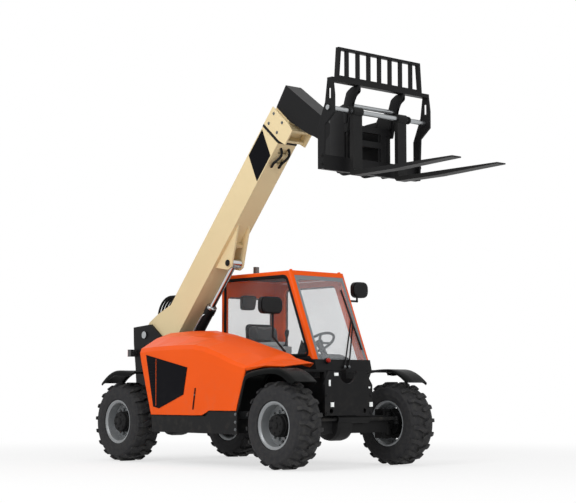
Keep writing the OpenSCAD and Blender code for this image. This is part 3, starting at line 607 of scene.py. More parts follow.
def turned(profile: Sequence[tuple[float, float]], centre: Point, axis: np.ndarray,
           steps: int = 24, hollow: bool = False) -> Surface:
    """Turns radius and height pairs about an axis: centre + height * axis + radius * (cos, sin).

    Args:
        profile: The pairs, from one end to the other.
        centre: Where height is zero.
        axis: The axis.
        steps: Points on each ring.
        hollow: Joins the profile's last pair to its first, for a ring without end caps.

    Returns:
        The surface.
    """
    axis = unit(np.asarray(axis, float))
    side = unit(np.cross(axis, Z if abs(axis[2]) < 0.9 else X))
    turn = np.arange(steps) * 2 * np.pi / steps
    spoke = np.cos(turn)[:, None] * side + np.sin(turn)[:, None] * np.cross(axis, side)
    p = np.asarray(profile, float)
    rings = np.asarray(centre, float) + p[:, 1, None, None] * axis + p[:, 0, None, None] * spoke
    return sheet(rings, True, True).outward() if hollow else tube(rings)


def swept(path: np.ndarray, section: np.ndarray, up: np.ndarray, loop: bool = False) -> Surface:
    """Carries a closed section along a path, square to it, with one side held against an up direction.

    Args:
        path: Points of the path.
        section: Pairs of side and up.
        up: A direction that the path never runs along.
        loop: Joins the path's end to its start.

    Returns:
        The closed surface.
    """
    ahead = np.roll(path, -1, 0) - np.roll(path, 1, 0) if loop else np.gradient(path, axis=0)
    ahead = unit(ahead)
    side = unit(np.cross(up, ahead))
    lift = np.cross(ahead, side)
    rings = path[:, None] + section[None, :, :1] * side[:, None] + section[None, :, 1:] * lift[:, None]
    return sheet(rings, True, True).outward() if loop else tube(rings)


def joined(shapes: Iterable[Surface]) -> Surface:
    """Several shapes in one mesh."""
    return reduce(Surface.__add__, shapes)


def travelled(line: np.ndarray) -> np.ndarray:
    """Distance along a line from its start to each of its points."""
    return np.concatenate([[0.0], np.cumsum(np.linalg.norm(np.diff(line, axis=0), axis=1))])


def spaced(points: np.ndarray, count: int, run: np.ndarray | None = None) -> np.ndarray:
    """Points spread evenly along the straight runs between given points.

    Args:
        points: The given points.
        count: How many are wanted.
        run: How far along each given point lies, its number by default.

    Returns:
        The points.
    """
    run = np.arange(len(points)) if run is None else run
    even = np.linspace(0, run[-1], count)
    return np.stack([np.interp(even, run, column) for column in points.T], -1)


def round_section(radius: float, steps: int = 12) -> np.ndarray:
    """Points of a circle."""
    a = np.arange(steps) * 2 * np.pi / steps
    return radius * np.stack([np.cos(a), np.sin(a)], -1)


def rounded(corners: Sequence[Sequence[float]], radius: float, steps: int = 6) -> np.ndarray:
    """A closed outline whose corners are quadratic curves between points set back by the radius.

    Args:
        corners: The outline's corners.
        radius: Set-back at each corner, at most 0.45 of the shorter side.
        steps: Points on each corner.

    Returns:
        The outline's points.
    """
    c = np.asarray(corners, float)
    to_prev, to_next = np.roll(c, 1, 0) - c, np.roll(c, -1, 0) - c
    room = np.minimum(np.linalg.norm(to_prev, axis=1), np.linalg.norm(to_next, axis=1))
    back = np.minimum(radius, 0.45 * room)[:, None]
    t = np.linspace(0, 1, steps)[None, :, None]
    a, b = (c + unit(to_prev) * back)[:, None], (c + unit(to_next) * back)[:, None]
    return ((1 - t) ** 2 * a + 2 * t * (1 - t) * c[:, None] + t ** 2 * b).reshape(-1, c.shape[1])


def box(low: Sequence[float], high: Sequence[float], radius: float, steps: int = 6) -> np.ndarray:
    """A rectangle's outline with rounded corners.

    Args:
        low: The corner with the lesser numbers.
        high: The opposite corner.
        radius: Set-back at each corner.
        steps: Points on each corner.

    Returns:
        The outline's points.
    """
    (x0, y0), (x1, y1) = low, high
    return rounded([(x0, y0), (x1, y0), (x1, y1), (x0, y1)], radius, steps)


def drawn(side: int, corners: Sequence[Sequence[float]]) -> np.ndarray:
    """Corners as seen from the right, turned round for a frame that faces left when the side is 1."""
    return np.asarray(corners, float) * (-side, 1.0)


def plate(place: Place, outline: np.ndarray, low: float, high: float, edge: float = 0.003,
          steps: int = 3) -> Surface:
    """A plate with rounded rims: rings of the outline drawn in by edge * (1 - sin a) near both faces.

    Args:
        place: The plate's frame.
        outline: Its outline in that frame.
        low: Height of its back face.
        high: Height of its front face.
        edge: Radius of its rims.
        steps: Rings on each rim.

    Returns:
        The closed surface.
    """
    run = np.roll(outline, -1, 0) - np.roll(outline, 1, 0)
    inward = unit(np.stack([-run[:, 1], run[:, 0]], -1))
    area = (outline[:, 0] * np.roll(outline[:, 1], -1) - outline[:, 1] * np.roll(outline[:, 0], -1)).sum()
    inward = inward if area > 0 else -inward
    before, after = outline - np.roll(outline, 1, 0), np.roll(outline, -1, 0) - outline
    turn = (before[:, 0] * after[:, 1] - before[:, 1] * after[:, 0]) * np.sign(area)
    bent = bool(turn.min() < -1e-9)
    a = np.linspace(0, np.pi / 2, steps)
    inset, rise = edge * (1 - np.sin(a)), edge * (1 - np.cos(a))
    inset = np.concatenate([inset, inset[::-1]])
    height = np.concatenate([low + rise, high - rise[::-1]])
    rings = outline[None] + inset[:, None, None] * inward[None]
    return tube(place.at(rings, np.broadcast_to(height[:, None], rings.shape[:2])), bent)


def hex_head(axis: np.ndarray, across: float, height: float) -> Surface:
    """A chamfered hexagon head standing along an axis, at the origin."""
    r = across / math.sqrt(3)
    return turned([(r, -height * 0.2), (r, height * 0.78), (r * 0.82, height)], np.zeros(3), axis, 6)


def bolts(places: np.ndarray | Sequence[Point], axis: np.ndarray, across: float, height: float) -> Surface:
    """Hexagon heads with round washers at several places.

    Args:
        places: Where the heads stand.
        axis: Which way they point.
        across: Width over flats.
        height: Head height.

    Returns:
        All of them in one surface.
    """
    profile = [(across * 0.85, -0.001), (across * 0.85, height * 0.16), (across * 0.78, height * 0.22)]
    washer = turned(profile, np.zeros(3), axis, 14)
    return (hex_head(axis, across, height) + washer).copies(np.atleast_2d(places))


@dataclass
class Assembly:
    """A sub-assembly of the machine: it finishes its solids and adds its fine pieces."""

    body: str = "chassis"

    @staticmethod
    def coat(node: str, material: bpy.types.Material) -> None:
        """Gives a solid one material.

        Args:
            node: The solid's name.
            material: The material.
        """
        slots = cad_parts[node].data.materials
        slots.clear()
        slots.append(material)
        LOG.info("%s in %s", node, material.name)

    def paint(self, finish: Finish, *nodes: str) -> None:
        """Gives solids a finish.

        Args:
            finish: The finish.
            nodes: The solids' names.
        """
        for node in nodes:
            self.coat(node, finish.material())

    def add(self, name: str, surface: Surface, finish: Finish, body: str | None = None,
            sharp: float = 38.0) -> bpy.types.Object:
        """Makes a fine piece that rides on a body.

        Args:
            name: The piece's name.
            surface: Its shape.
            finish: Its finish.
            body: The body, the assembly's own by default.
            sharp: Angle past which its edges stay sharp.

        Returns:
            The piece.
        """
        made = surface.mesh(name, sharp)
        made.data.materials.append(finish.material())
        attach(made, body or self.body)
        LOG.info("%s on %s, %d faces", name, body or self.body, len(made.data.polygons))
        return made

    def dress(self) -> None:
        """Finishes the solids and builds the fine pieces."""
        raise NotImplementedError


@dataclass
class Wheel(Assembly):
    """One wheel: tyre, dished rim and hub, with nuts, a drum cover, its bolts and plug, and a valve."""

    end: str = "front"
    side: str = "right"
    wheel_y: float = 0.7525
    axle_z: float = 0.415
    nuts: int = 10
    nut_ring: float = 0.132
    nut_out: float = 0.018
    drum_bolts: int = 6
    drum_ring: float = 0.074
    drum_turn: float = 0.3
    drum_out: float = 0.112
    valve_drop: float = 0.186
    valve_out: float = 0.016
    tag: str = field(init=False)
    out: np.ndarray = field(init=False)
    centre: np.ndarray = field(init=False)

    def __post_init__(self) -> None:
        """Names the wheel's body and finds its outward direction and its centre."""
        self.tag = f"{self.end}_{self.side}"
        self.body = f"wheel_{self.tag}"
        self.out = dict(SIDES)[self.side] * Y
        axle_x = AXLE_X if self.end == "front" else -AXLE_X
        self.centre = axle_x * X + self.wheel_y * self.out + self.axle_z * Z

    def ring(self, count: int, radius: float, start: float, out: float) -> np.ndarray:
        """Places spaced evenly on a circle round the axle.

        Args:
            count: How many there are.
            radius: The circle's radius.
            start: Angle of the first.
            out: How far out from the wheel's middle they lie.

        Returns:
            The places.
        """
        turn = np.arange(count) * 2 * np.pi / count + start
        spokes = np.stack([np.cos(turn), np.zeros(count), np.sin(turn)], -1)
        return self.centre + self.out * out + spokes * radius

    def dress(self) -> None:
        """Finishes the wheel and adds its nuts, drum cover, cover bolts with a plug, and valve."""
        rubber = Tyre(f"tyre_rubber_{self.tag}", tuple(map(float, self.centre)))
        self.coat(f"tyre_{self.tag}", rubber.material())
        self.paint(Finish.SILVER, f"rim_{self.tag}")
        self.paint(Finish.CAST, f"hub_{self.tag}")
        nuts = bolts(self.ring(self.nuts, self.nut_ring, 0.0, self.nut_out), self.out, 0.024, 0.018)
        self.add(f"wheel_nuts_{self.tag}", nuts, Finish.DULL)
        face = self.drum_out
        cover = [(0.104, 0.066), (0.104, face - 0.014), (0.1, face - 0.004), (0.094, face), (0.02, face)]
        self.add(f"drum_cover_{self.tag}", turned(cover, self.centre, self.out, 48), Finish.CAST)
        spots = self.ring(self.drum_bolts, self.drum_ring, self.drum_turn, face)
        heads = bolts(spots, self.out, 0.018, 0.01)
        plug = [(0.034, -0.002), (0.034, 0.006), (0.03, 0.009), (0.012, 0.01)]
        self.add(f"drum_bolts_{self.tag}", heads + turned(plug, self.centre + self.out * face, self.out, 28),
                 Finish.CAST)
        stem = [(0.006, -0.004), (0.006, 0.03), (0.008, 0.031), (0.008, 0.044), (0.005, 0.047)]
        foot = self.centre + self.out * self.valve_out - self.valve_drop * Z
        self.add(f"valve_{self.tag}", turned(stem, foot, self.out, 12), Finish.RUBBER)


@dataclass
class Boom(Assembly):
    """Boom, its head, the levelling link and the lift cylinder, with their fittings."""

    body: str = "boom_body"
    head: str = "boom_slide"
    barrel: str = "lift_barrel_body"
    angle: float = 49.0
    half_w: float = 0.125
    top: float = -0.113
    bottom: float = -0.428
    length: float = 3.13
    head_u: float = 3.384
    head_drop: float = 1.155
    strap_u: float = 2.897
    lug_u: float = 1.449
    lug_drop: float = 0.565
    gland_reach: float = 1.014
    along: np.ndarray = field(init=False)
    square: np.ndarray = field(init=False)

    def __post_init__(self) -> None:
        """Finds the directions along the boom and square to it."""
        a = math.radians(self.angle)
        self.along = np.array([math.cos(a), 0, math.sin(a)])
        self.square = np.array([-math.sin(a), 0, math.cos(a)])

    def spot(self, u: float, y: float, w: float) -> np.ndarray:
        """A point given along the boom, sideways from its middle, and square to it."""
        return BOOM_PIVOT + u * self.along + w * self.square + y * Y

    def dress(self) -> None:
        """Finishes the boom and its cylinder and adds their fittings."""
        self.paint(Finish.TAN, "boom_outer", "boom_inner")
        self.paint(Finish.BLACK, "boom_head")
        self.paint(Finish.STEEL, "level_link")
        self.paint(Finish.BLACK, "lift_barrel")
        self.paint(Finish.ROD, "lift_rod")
        self.panels()
        self.fasteners()
        self.guides()
        self.port()
        self.cylinder()

    def panels(self) -> None:
        """The slanted bare panel on each side and the strap behind the collar."""
        low, high = self.bottom + 0.012, self.top - 0.012
        corners = [(2.392, low), (2.72, low), (2.852, high), (2.524, high)]
        for name, side in SIDES:
            at = Place(self.spot(0, side * self.half_w, 0), -side * self.along, self.square)
            panel = plate(at, rounded(drawn(side, corners), 0.008), -0.0005, 0.0012, 0.0006, 2)
            self.add(f"boom_panel_{name}", panel, Finish.PANEL)
        half, proud = self.half_w + 0.004, 0.006
        ring = box((-half, self.bottom - proud), (half, self.top + proud), 0.02)
        path = Place(self.spot(self.strap_u, 0, 0), Y, self.square).at(ring)
        strip = np.array([[-0.003, -0.014], [0.003, -0.014], [0.003, 0.014], [-0.003, 0.014]])
        self.add("boom_strap", swept(path, strip, self.along, True), Finish.BLACK)

    def fasteners(self) -> None:
        """Collar bolts, the lift lug's pin caps and the rings round the head's pin."""
        rows = (self.length - 0.165, self.length - 0.045)
        cap = [(0.034, -0.004), (0.034, 0.008), (0.028, 0.013), (0.008, 0.014)]
        ring = [(0.05, -0.002), (0.078, -0.002), (0.078, 0.006), (0.074, 0.009), (0.054, 0.009),
                (0.05, 0.006)]
        for name, side in SIDES:
            out = side * Y
            heads = [self.spot(u, side * (self.half_w + 0.016), w) for u in rows for w in (-0.19, -0.36)]
            self.add(f"collar_bolts_{name}", bolts(heads, out, 0.02, 0.01), Finish.DULL)
            lug = self.spot(self.lug_u, side * 0.096, -self.lug_drop)
            self.add(f"lug_cap_{name}", turned(cap, lug, out, 28), Finish.BLACK)
            pin = self.spot(self.head_u, side * 0.105, -self.head_drop)
            self.add(f"head_ring_{name}", turned(ring, pin, out, 36, True), Finish.CAST, self.head)

    def guides(self) -> None:
        """Two rods below the boom: they hang by the root of a sine and swing sideways by a full sine."""
        s = np.linspace(0, 1, 28)[:, None]
        for k, y in enumerate((-0.052, 0.052), 1):
            run = (self.spot(2.825, y, self.bottom + 0.004) - 0.23 * s * self.along
                   + 0.022 * np.sin(2 * np.pi * s) * Y - 0.04 * np.sin(np.pi * s) ** 0.5 * self.square)
            self.add(f"hose_guide_{k}", swept(run, round_section(0.014, 12), Y), Finish.BLACK)

    def port(self) -> None:
        """The head's rounded port: a raised rim round a dark pane that is painted shade for the opening."""
        low = self.spot(self.length + 0.2616, 0, self.top - 0.15)
        high = self.spot(self.length + 0.2576, 0, self.top - 0.05)
        up = unit(high - low)
        at = Place((low + high) / 2, Y, up)
        outline = box((-0.062, -0.05), (0.062, 0.05), 0.02)
        rim = np.array([[-0.006, -0.003], [0.006, -0.003], [0.004, 0.004], [-0.004, 0.004]])
        raised = swept(at.at(outline, 0.002), rim, np.cross(Y, up), True)
        self.add("head_port_rim", raised, Finish.BLACK, self.head)
        # Painted shade: a flat dark pane stands for the shaded inside of the port's opening.
        self.add("head_port", plate(at, outline, -0.002, 0.0006, 0.0004, 2), Finish.RUBBER, self.head)

    def cylinder(self) -> None:
        """The lift cylinder's gland ring, and a feed pipe on its side whose ends a moving mean bends in."""
        ahead = unit(LIFT_EYE - LIFT_FOOT)
        gland = [(0.034, 0.0), (0.052, 0.0), (0.056, 0.005), (0.056, 0.026), (0.048, 0.034), (0.034, 0.034)]
        ring = turned(gland, LIFT_FOOT + ahead * self.gland_reach, ahead, 40, True)
        self.add("lift_gland", ring, Finish.STEEL, self.barrel)
        reach = np.array([[0.12, 0.05], [0.14, 0.068], [0.2, 0.073], [0.5, 0.073], [0.86, 0.073],
                          [0.915, 0.068], [0.935, 0.05]])
        far, high = spaced(reach, 60).T
        high = np.convolve(np.pad(high, 3, "edge"), np.ones(7) / 7, "valid")
        path = LIFT_FOOT + far[:, None] * ahead - high[:, None] * Y
        pipe = swept(path, round_section(0.009, 10), unit(np.cross(ahead, Y)))
        self.add("lift_pipe", pipe, Finish.STEEL, self.barrel)


@dataclass
class Cab(Assembly):
    """Cab with its glass, seals, mirrors, door fittings, wiper and controls."""

    right: float = 0.089
    left: float = 0.87
    rear: float = -0.74
    belt: float = 1.06
    head: float = 1.935
    roof: float = 1.985
    console_y: float = 0.195

    def screen_x(self, z: float) -> float:
        """Where the windscreen's plane stands at a height."""
        return 0.772 - 0.4153 * (z - 1.06)

    def dress(self) -> None:
        """Finishes the cab's solids and adds its fine pieces."""
        self.paint(Finish.ORANGE, "cab_frame", "door")
        self.paint(Finish.BLACK, "cab_tub", "seat_base", "wiper")
        self.paint(Finish.MOULDED, "cab_roof", "dash", "steering_wheel")
        self.paint(Finish.TRIM, "side_console")
        self.paint(Finish.SCREEN, "windscreen")
        self.paint(Finish.GLASS, "cab_glass")
        self.paint(Finish.DOOR_GLASS, "door_glass")
        self.seals()
        self.mirrors()
        self.handles()
        self.add("roof_ribs", self.ribs(), Finish.MOULDED)
        self.cowl()
        self.console()
        self.pedals()
        self.fittings()

    def bead(self, name: str, outline: np.ndarray, axis: int, at: float, body: str | None = None) -> None:
        """Carries a seal's broad section round an outline that lies square to an axis, facing outwards.

        Args:
            name: The seal's name.
            outline: Pairs of the two other axes.
            axis: The axis, 0 for X and 1 for Y.
            at: Where the outline lies on it.
            body: The body that the seal rides on, the cab's by default.
        """
        section = np.array([[-0.017, -0.006], [0.017, -0.006], [0.017, 0.002], [0.011, 0.006],
                            [-0.011, 0.006], [-0.017, 0.002]])
        out = np.eye(3)[axis] * (1 if at == self.left else -1)
        self.add(name, swept(np.insert(outline, axis, at, axis=1), section, out, True), Finish.RUBBER, body)

    def seals(self) -> None:
        """Rubber seals round the side, rear and door windows, and a belt strip below the side window."""
        low, high, back = self.belt + 0.04, self.head - 0.01, self.rear + 0.075
        side = [(back, low), (self.screen_x(low) - 0.075, low), (self.screen_x(high) - 0.075, high),
                (back, high)]
        self.bead("side_seal", rounded(side, 0.06), 1, self.right)
        self.bead("rear_seal", box((self.right + 0.06, low), (self.left - 0.06, 1.76), 0.06), 0, self.rear)
        top = self.head - 0.075
        door = [(-0.54, 0.8), (0.55, 0.8), (0.63, 1.055), (0.275, top), (-0.54, top)]
        self.bead("door_seal", rounded(door, 0.06), 1, self.left, "door_body")
        first, upper = self.rear + 0.03, self.belt + 0.034
        strip = [(first, self.belt), (self.screen_x(self.belt) - 0.04, self.belt),
                 (self.screen_x(low) - 0.06, upper), (first, upper)]
        at = Place((0.0, self.right, 0.0), X, Z)
        self.add("belt_strip", plate(at, rounded(strip, 0.004), -0.001, 0.003, 0.0008, 3), Finish.RUBBER)

    def mirrors(self) -> None:
        """Mirror heads: a domed cover in front and bright glass to the rear."""
        self.paint(Finish.MOULDED, "mirrors")
        for name, low, high, front, rear in (("right", (-0.572, 1.503), (-0.302, 1.672), 0.714, 0.662),
                                             ("left", (0.912, 1.728), (1.12, 1.896), 0.482, 0.436)):
            middle = np.add(low, high) / 2
            low, high = low - middle, high - middle
            pane = plate(Place((rear, *middle), -Y, Z), box(low * 0.86, high * 0.86, 0.045),
                         -0.001, 0.002, 0.001, 2)
            self.add(f"mirror_pane_{name}", pane, Finish.MIRROR)
            dome = plate(Place((front, *middle), Y, Z), box(low, high, 0.08), -0.012, 0.022, 0.022, 7)
            self.add(f"mirror_cover_{name}", dome, Finish.MOULDED, sharp=60.0)

    def handles(self) -> None:
        """The door's pull and latch plate, and its hinges' pin caps."""
        path = np.array([[0.3, 0.868, 1.02], [0.3, 0.9, 1.02], [0.3, 0.912, 1.03], [0.18, 0.912, 1.06],
                         [0.18, 0.9, 1.06], [0.18, 0.868, 1.06]])
        pull = swept(spaced(path, 40), round_section(0.008, 10), unit((0.3, 0.2, 1.0)))
        self.add("door_pull", pull, Finish.MOULDED, "door_body")
        at = Place((0.24, self.left, 1.02), -X, Z)
        latch = plate(at, box((-0.08, -0.05), (0.08, 0.06), 0.02), -0.001, 0.004, 0.003, 3)
        self.add("door_latch", latch, Finish.MOULDED, "door_body")
        cap = [(0.014, -0.001), (0.014, 0.003), (0.01, 0.006), (0.003, 0.007)]
        for tag, z in (("low", 1.18), ("high", 1.78)):
            pin = (-0.606, self.left + 0.014, z + 0.04)
            self.add(f"hinge_cap_{tag}", turned(cap, pin, Z, 20), Finish.DULL)

    def ribs(self) -> Surface:
        """Raised ribs along the roof panel: rounded bars with level tops."""
        at = Place((0.0, 0.0, self.roof - 0.004), X, Y)
        bar = plate(at, box((-0.6, -0.018), (0.22, 0.018), 0.017), -0.002, 0.006, 0.005, 3)
        return bar.copies(np.outer(np.linspace(0.3, 0.72, 4), Y))

    def cowl(self) -> None:
        """Below the screen: a red cap on a black collar, the wiper spindles' nuts and the blade's rubber."""
        out = unit((0.973, 0.0, 0.232))
        foot = (0.7763, 0.25, 1.042)
        collar = [(0.03, -0.006), (0.03, 0.01), (0.026, 0.014), (0.012, 0.014)]
        self.add("cowl_collar", turned(collar, foot, out, 28), Finish.RUBBER)
        cap = [(0.012, 0.01), (0.02, 0.013), (0.024, 0.018), (0.024, 0.034), (0.019, 0.04), (0.006, 0.042)]
        self.add("cowl_cap", turned(cap, foot, out, 28), Finish.RED)
        nuts = [(0.822, y, 0.985) for y in (0.465, 0.525)]
        self.add("wiper_nuts", bolts(nuts, X, 0.018, 0.01), Finish.DULL)
        ends = np.array([[self.screen_x(z) + 0.004, y, z] for y, z in ((0.7816, 1.17), (0.7344, 1.795))])
        blade = np.array([[-0.003, -0.004], [0.003, -0.004], [0.006, 0.004], [-0.006, 0.004]])
        self.add("wiper_rubber", swept(spaced(ends, 20), blade, out), Finish.RUBBER)

    def console(self) -> None:
        """The side console's deck, its lever and its armrest."""
        at = Place((0.0, self.console_y, 1.2), X, Y)
        deck = plate(at, box((-0.25, -0.045), (0.16, 0.045), 0.012), 0.0004, 0.05, 0.008, 4)
        self.add("console_deck", deck, Finish.TRIM)
        lever = [(0.03, -0.004), (0.026, 0.012), (0.012, 0.024), (0.008, 0.05), (0.008, 0.095),
                 (0.018, 0.105), (0.024, 0.135), (0.022, 0.165), (0.012, 0.178), (0.003, 0.18)]
        foot = (0.205, self.console_y, 1.2)
        self.add("joystick", turned(lever, foot, unit((0.15, 0.0, 1.0)), 24), Finish.RUBBER)
        at = Place((0.0, self.console_y, 1.25), X, Y)
        arm = plate(at, box((-0.25, -0.044), (-0.06, 0.044), 0.03), -0.002, 0.03, 0.014, 5)
        self.add("armrest", arm, Finish.RUBBER)

    def pedals(self) -> None:
        """Two pedals: a leaning pad on a bent stalk."""
        lean = unit((0.35, 0.0, 1.0))
        for k, y in enumerate((0.4, 0.54), 1):
            outline = box((-0.035, -0.05), (0.035, 0.05), 0.012)
            pad = plate(Place((0.552, y, 0.8), -Y, lean), outline, -0.01, 0.006, 0.004, 3)
            path = np.array([[0.552, y, 0.8], [0.575, y, 0.83], [0.6, y, 0.84]])
            self.add(f"pedal_{k}", pad + swept(path, round_section(0.008, 10), Y), Finish.RUBBER)

    def fittings(self) -> None:
        """The lamp at the back of the cab, and the steering wheel's knob and boss."""
        outline = rounded([(-0.1, -0.07), (0.07, -0.07), (0.1, 0.09), (-0.1, 0.09)], 0.04)
        lamp = plate(Place((self.rear + 0.046, 0.42, 1.69), Y, Z), outline, -0.002, 0.06, 0.01, 5)
        self.add("inner_lamp", lamp, Finish.MOULDED)
        hub = np.array([0.43, 0.47, 1.225])
        lean = unit((-0.13, 0.0, 0.185))
        rim = hub + lean * 0.018 - unit(np.cross(Y, lean)) * 0.17
        knob = [(0.01, 0.008), (0.01, 0.022), (0.024, 0.03), (0.028, 0.044), (0.022, 0.058), (0.006, 0.062)]
        self.add("wheel_knob", turned(knob, rim, lean, 24), Finish.RUBBER)
        boss = [(0.04, 0.026), (0.038, 0.034), (0.026, 0.04), (0.006, 0.042)]
        self.add("wheel_boss", turned(boss, hub, lean, 32), Finish.MOULDED)


@dataclass
class Hood(Assembly):
    """Hood over the engine with its vent panel, trim line, slats and latch."""

    body: str = "hood_body"
    wall_y: float = -0.88
    panel_out: float = 0.004

    def wall(self, out: float) -> Place:
        """A flat frame off the hood's right wall by a distance, X to the right and Z up."""
        return Place((0.0, self.wall_y - out, 0.0), X, Z)

    def dress(self) -> None:
        """Finishes the hood and adds the panel's line and slats, and the latch over its filled slot."""
        self.paint(Finish.ORANGE, "hood")
        self.paint(Finish.PANEL, "hood_panel")
        line = rounded([(-0.598, 1.07), (-0.591, 1.069), (-0.587, 0.588), (-0.594, 0.588)], 0.002, 3)
        self.add("panel_line", plate(self.wall(self.panel_out), line, 0.0, 0.0015, 0.0006, 2), Finish.ORANGE)
        fill = np.array([(0.0265, 0.7695), (0.0455, 0.7695), (0.0555, 0.5555), (0.0365, 0.5555)])
        self.add("latch_fill", plate(self.wall(-0.005), fill, 0.0002, 0.005, 0.0003, 2), Finish.ORANGE)
        grip = rounded([(0.054, 0.77), (0.076, 0.77), (0.036, 0.553), (0.014, 0.553)], 0.009)
        self.add("latch_grip", plate(self.wall(0.0), grip, 0.0002, 0.004, 0.002, 4), Finish.PANEL)
        key = [(0.008, 0.003), (0.008, 0.005), (0.006, 0.006), (0.002, 0.0065)]
        self.add("latch_key", turned(key, (0.0515, self.wall_y, 0.7), -Y, 20), Finish.DULL)
        self.add("vent_slats", self.slats(), Finish.PANEL)

    def slats(self) -> Surface:
        """Louvres behind the vent panel's trim line: rounded bars that lean with the panel's rear edge."""
        low = np.linspace(0.64, 1.02, 14)
        rear = np.interp(low, [0.58, 1.112], [-0.632, -0.758])
        front, high = np.full(len(low), -0.612), low + 0.01
        corners = [rear + 0.014, low, front, low, front, high, rear + 0.012, high]
        bars = np.stack(corners, -1).reshape(-1, 4, 2)
        at = self.wall(self.panel_out)
        return joined(plate(at, rounded(bar, 0.004, 3), -0.001, 0.0025, 0.002, 2) for bar in bars)


@dataclass
class Chassis(Assembly):
    """Main frame, engine, tank, axles, knuckles, steering rods and lamps."""

    front_x: float = 1.455
    sill_y: float = -0.886

    def dress(self) -> None:
        """Finishes the frame's solids and adds bolts, markers, the tank's cap, treads and pin caps."""
        self.paint(Finish.BLACK, "chassis_frame")
        self.paint(Finish.IRON, "engine_block")
        self.paint(Finish.BLACK, "side_tank")
        self.paint(Finish.CAST, "axles", *(f"knuckle_{end}_{side}" for end in ENDS for side, _ in SIDES))
        self.paint(Finish.FORK, "steer_rod_front", "steer_rod_rear")
        self.paint(Finish.LAMP, "lamps")
        self.front()
        self.flanks()
        self.pins()

    def front(self) -> None:
        """The front plate's bolts and small lenses."""
        heads = [(self.front_x, y, z) for y in (-0.385, 0.205) for z in (0.53, 0.7)]
        self.add("front_bolts", bolts(heads, X, 0.024, 0.012), Finish.BLACK)
        at = Place((self.front_x, 0.0, 0.0), Y, Z)
        for name, y, z, half_w, half_h in (("right", -0.345, 0.815, 0.01, 0.03),
                                           ("left", 0.185, 0.773, 0.009, 0.009)):
            tile = box((y - half_w, z - half_h), (y + half_w, z + half_h), 0.004, 4)
            self.add(f"marker_{name}", plate(at, tile, -0.001, 0.008, 0.0012, 3), Finish.LAMP)

    def flanks(self) -> None:
        """The sill's bolts on the right, and the tank's cap and the step treads on the left."""
        heads = [(0.7, self.sill_y, z) for z in (0.515, 0.438, 0.367)]
        self.add("sill_bolts", bolts(heads, -Y, 0.018, 0.01), Finish.DULL)
        cap = [(0.05, -0.004), (0.05, 0.006), (0.042, 0.008), (0.042, 0.028), (0.038, 0.032), (0.01, 0.033)]
        self.add("tank_cap", turned(cap, (0.46, 0.85, 0.47), Y, 36), Finish.RUBBER)
        outline = box((-0.195, -0.005), (0.295, 0.005), 0.003, 3)
        tread = plate(Place((0.0, 0.0, 0.0), X, Y), outline, -0.001, 0.005, 0.002, 2)
        lines = [(0.0, y, z) for z in (0.36, 0.47) for y in (0.785, 0.805, 0.825, 0.845)]
        self.add("step_treads", tread.copies(lines), Finish.DULL)

    def pins(self) -> None:
        """Round caps on the boom's pivot pin and the lift cylinder's lower pin."""
        pins = (("pivot", BOOM_PIVOT, 0.04, 0.172), ("foot", LIFT_FOOT, 0.03, 0.168))
        for name, side in SIDES:
            for tag, pin, radius, out in pins:
                cap = [(radius, -0.002), (radius, 0.004), (radius - 0.004, 0.007), (0.006, 0.008)]
                self.add(f"{tag}_pin_{name}", turned(cap, pin + side * out * Y, side * Y, 32), Finish.STEEL)


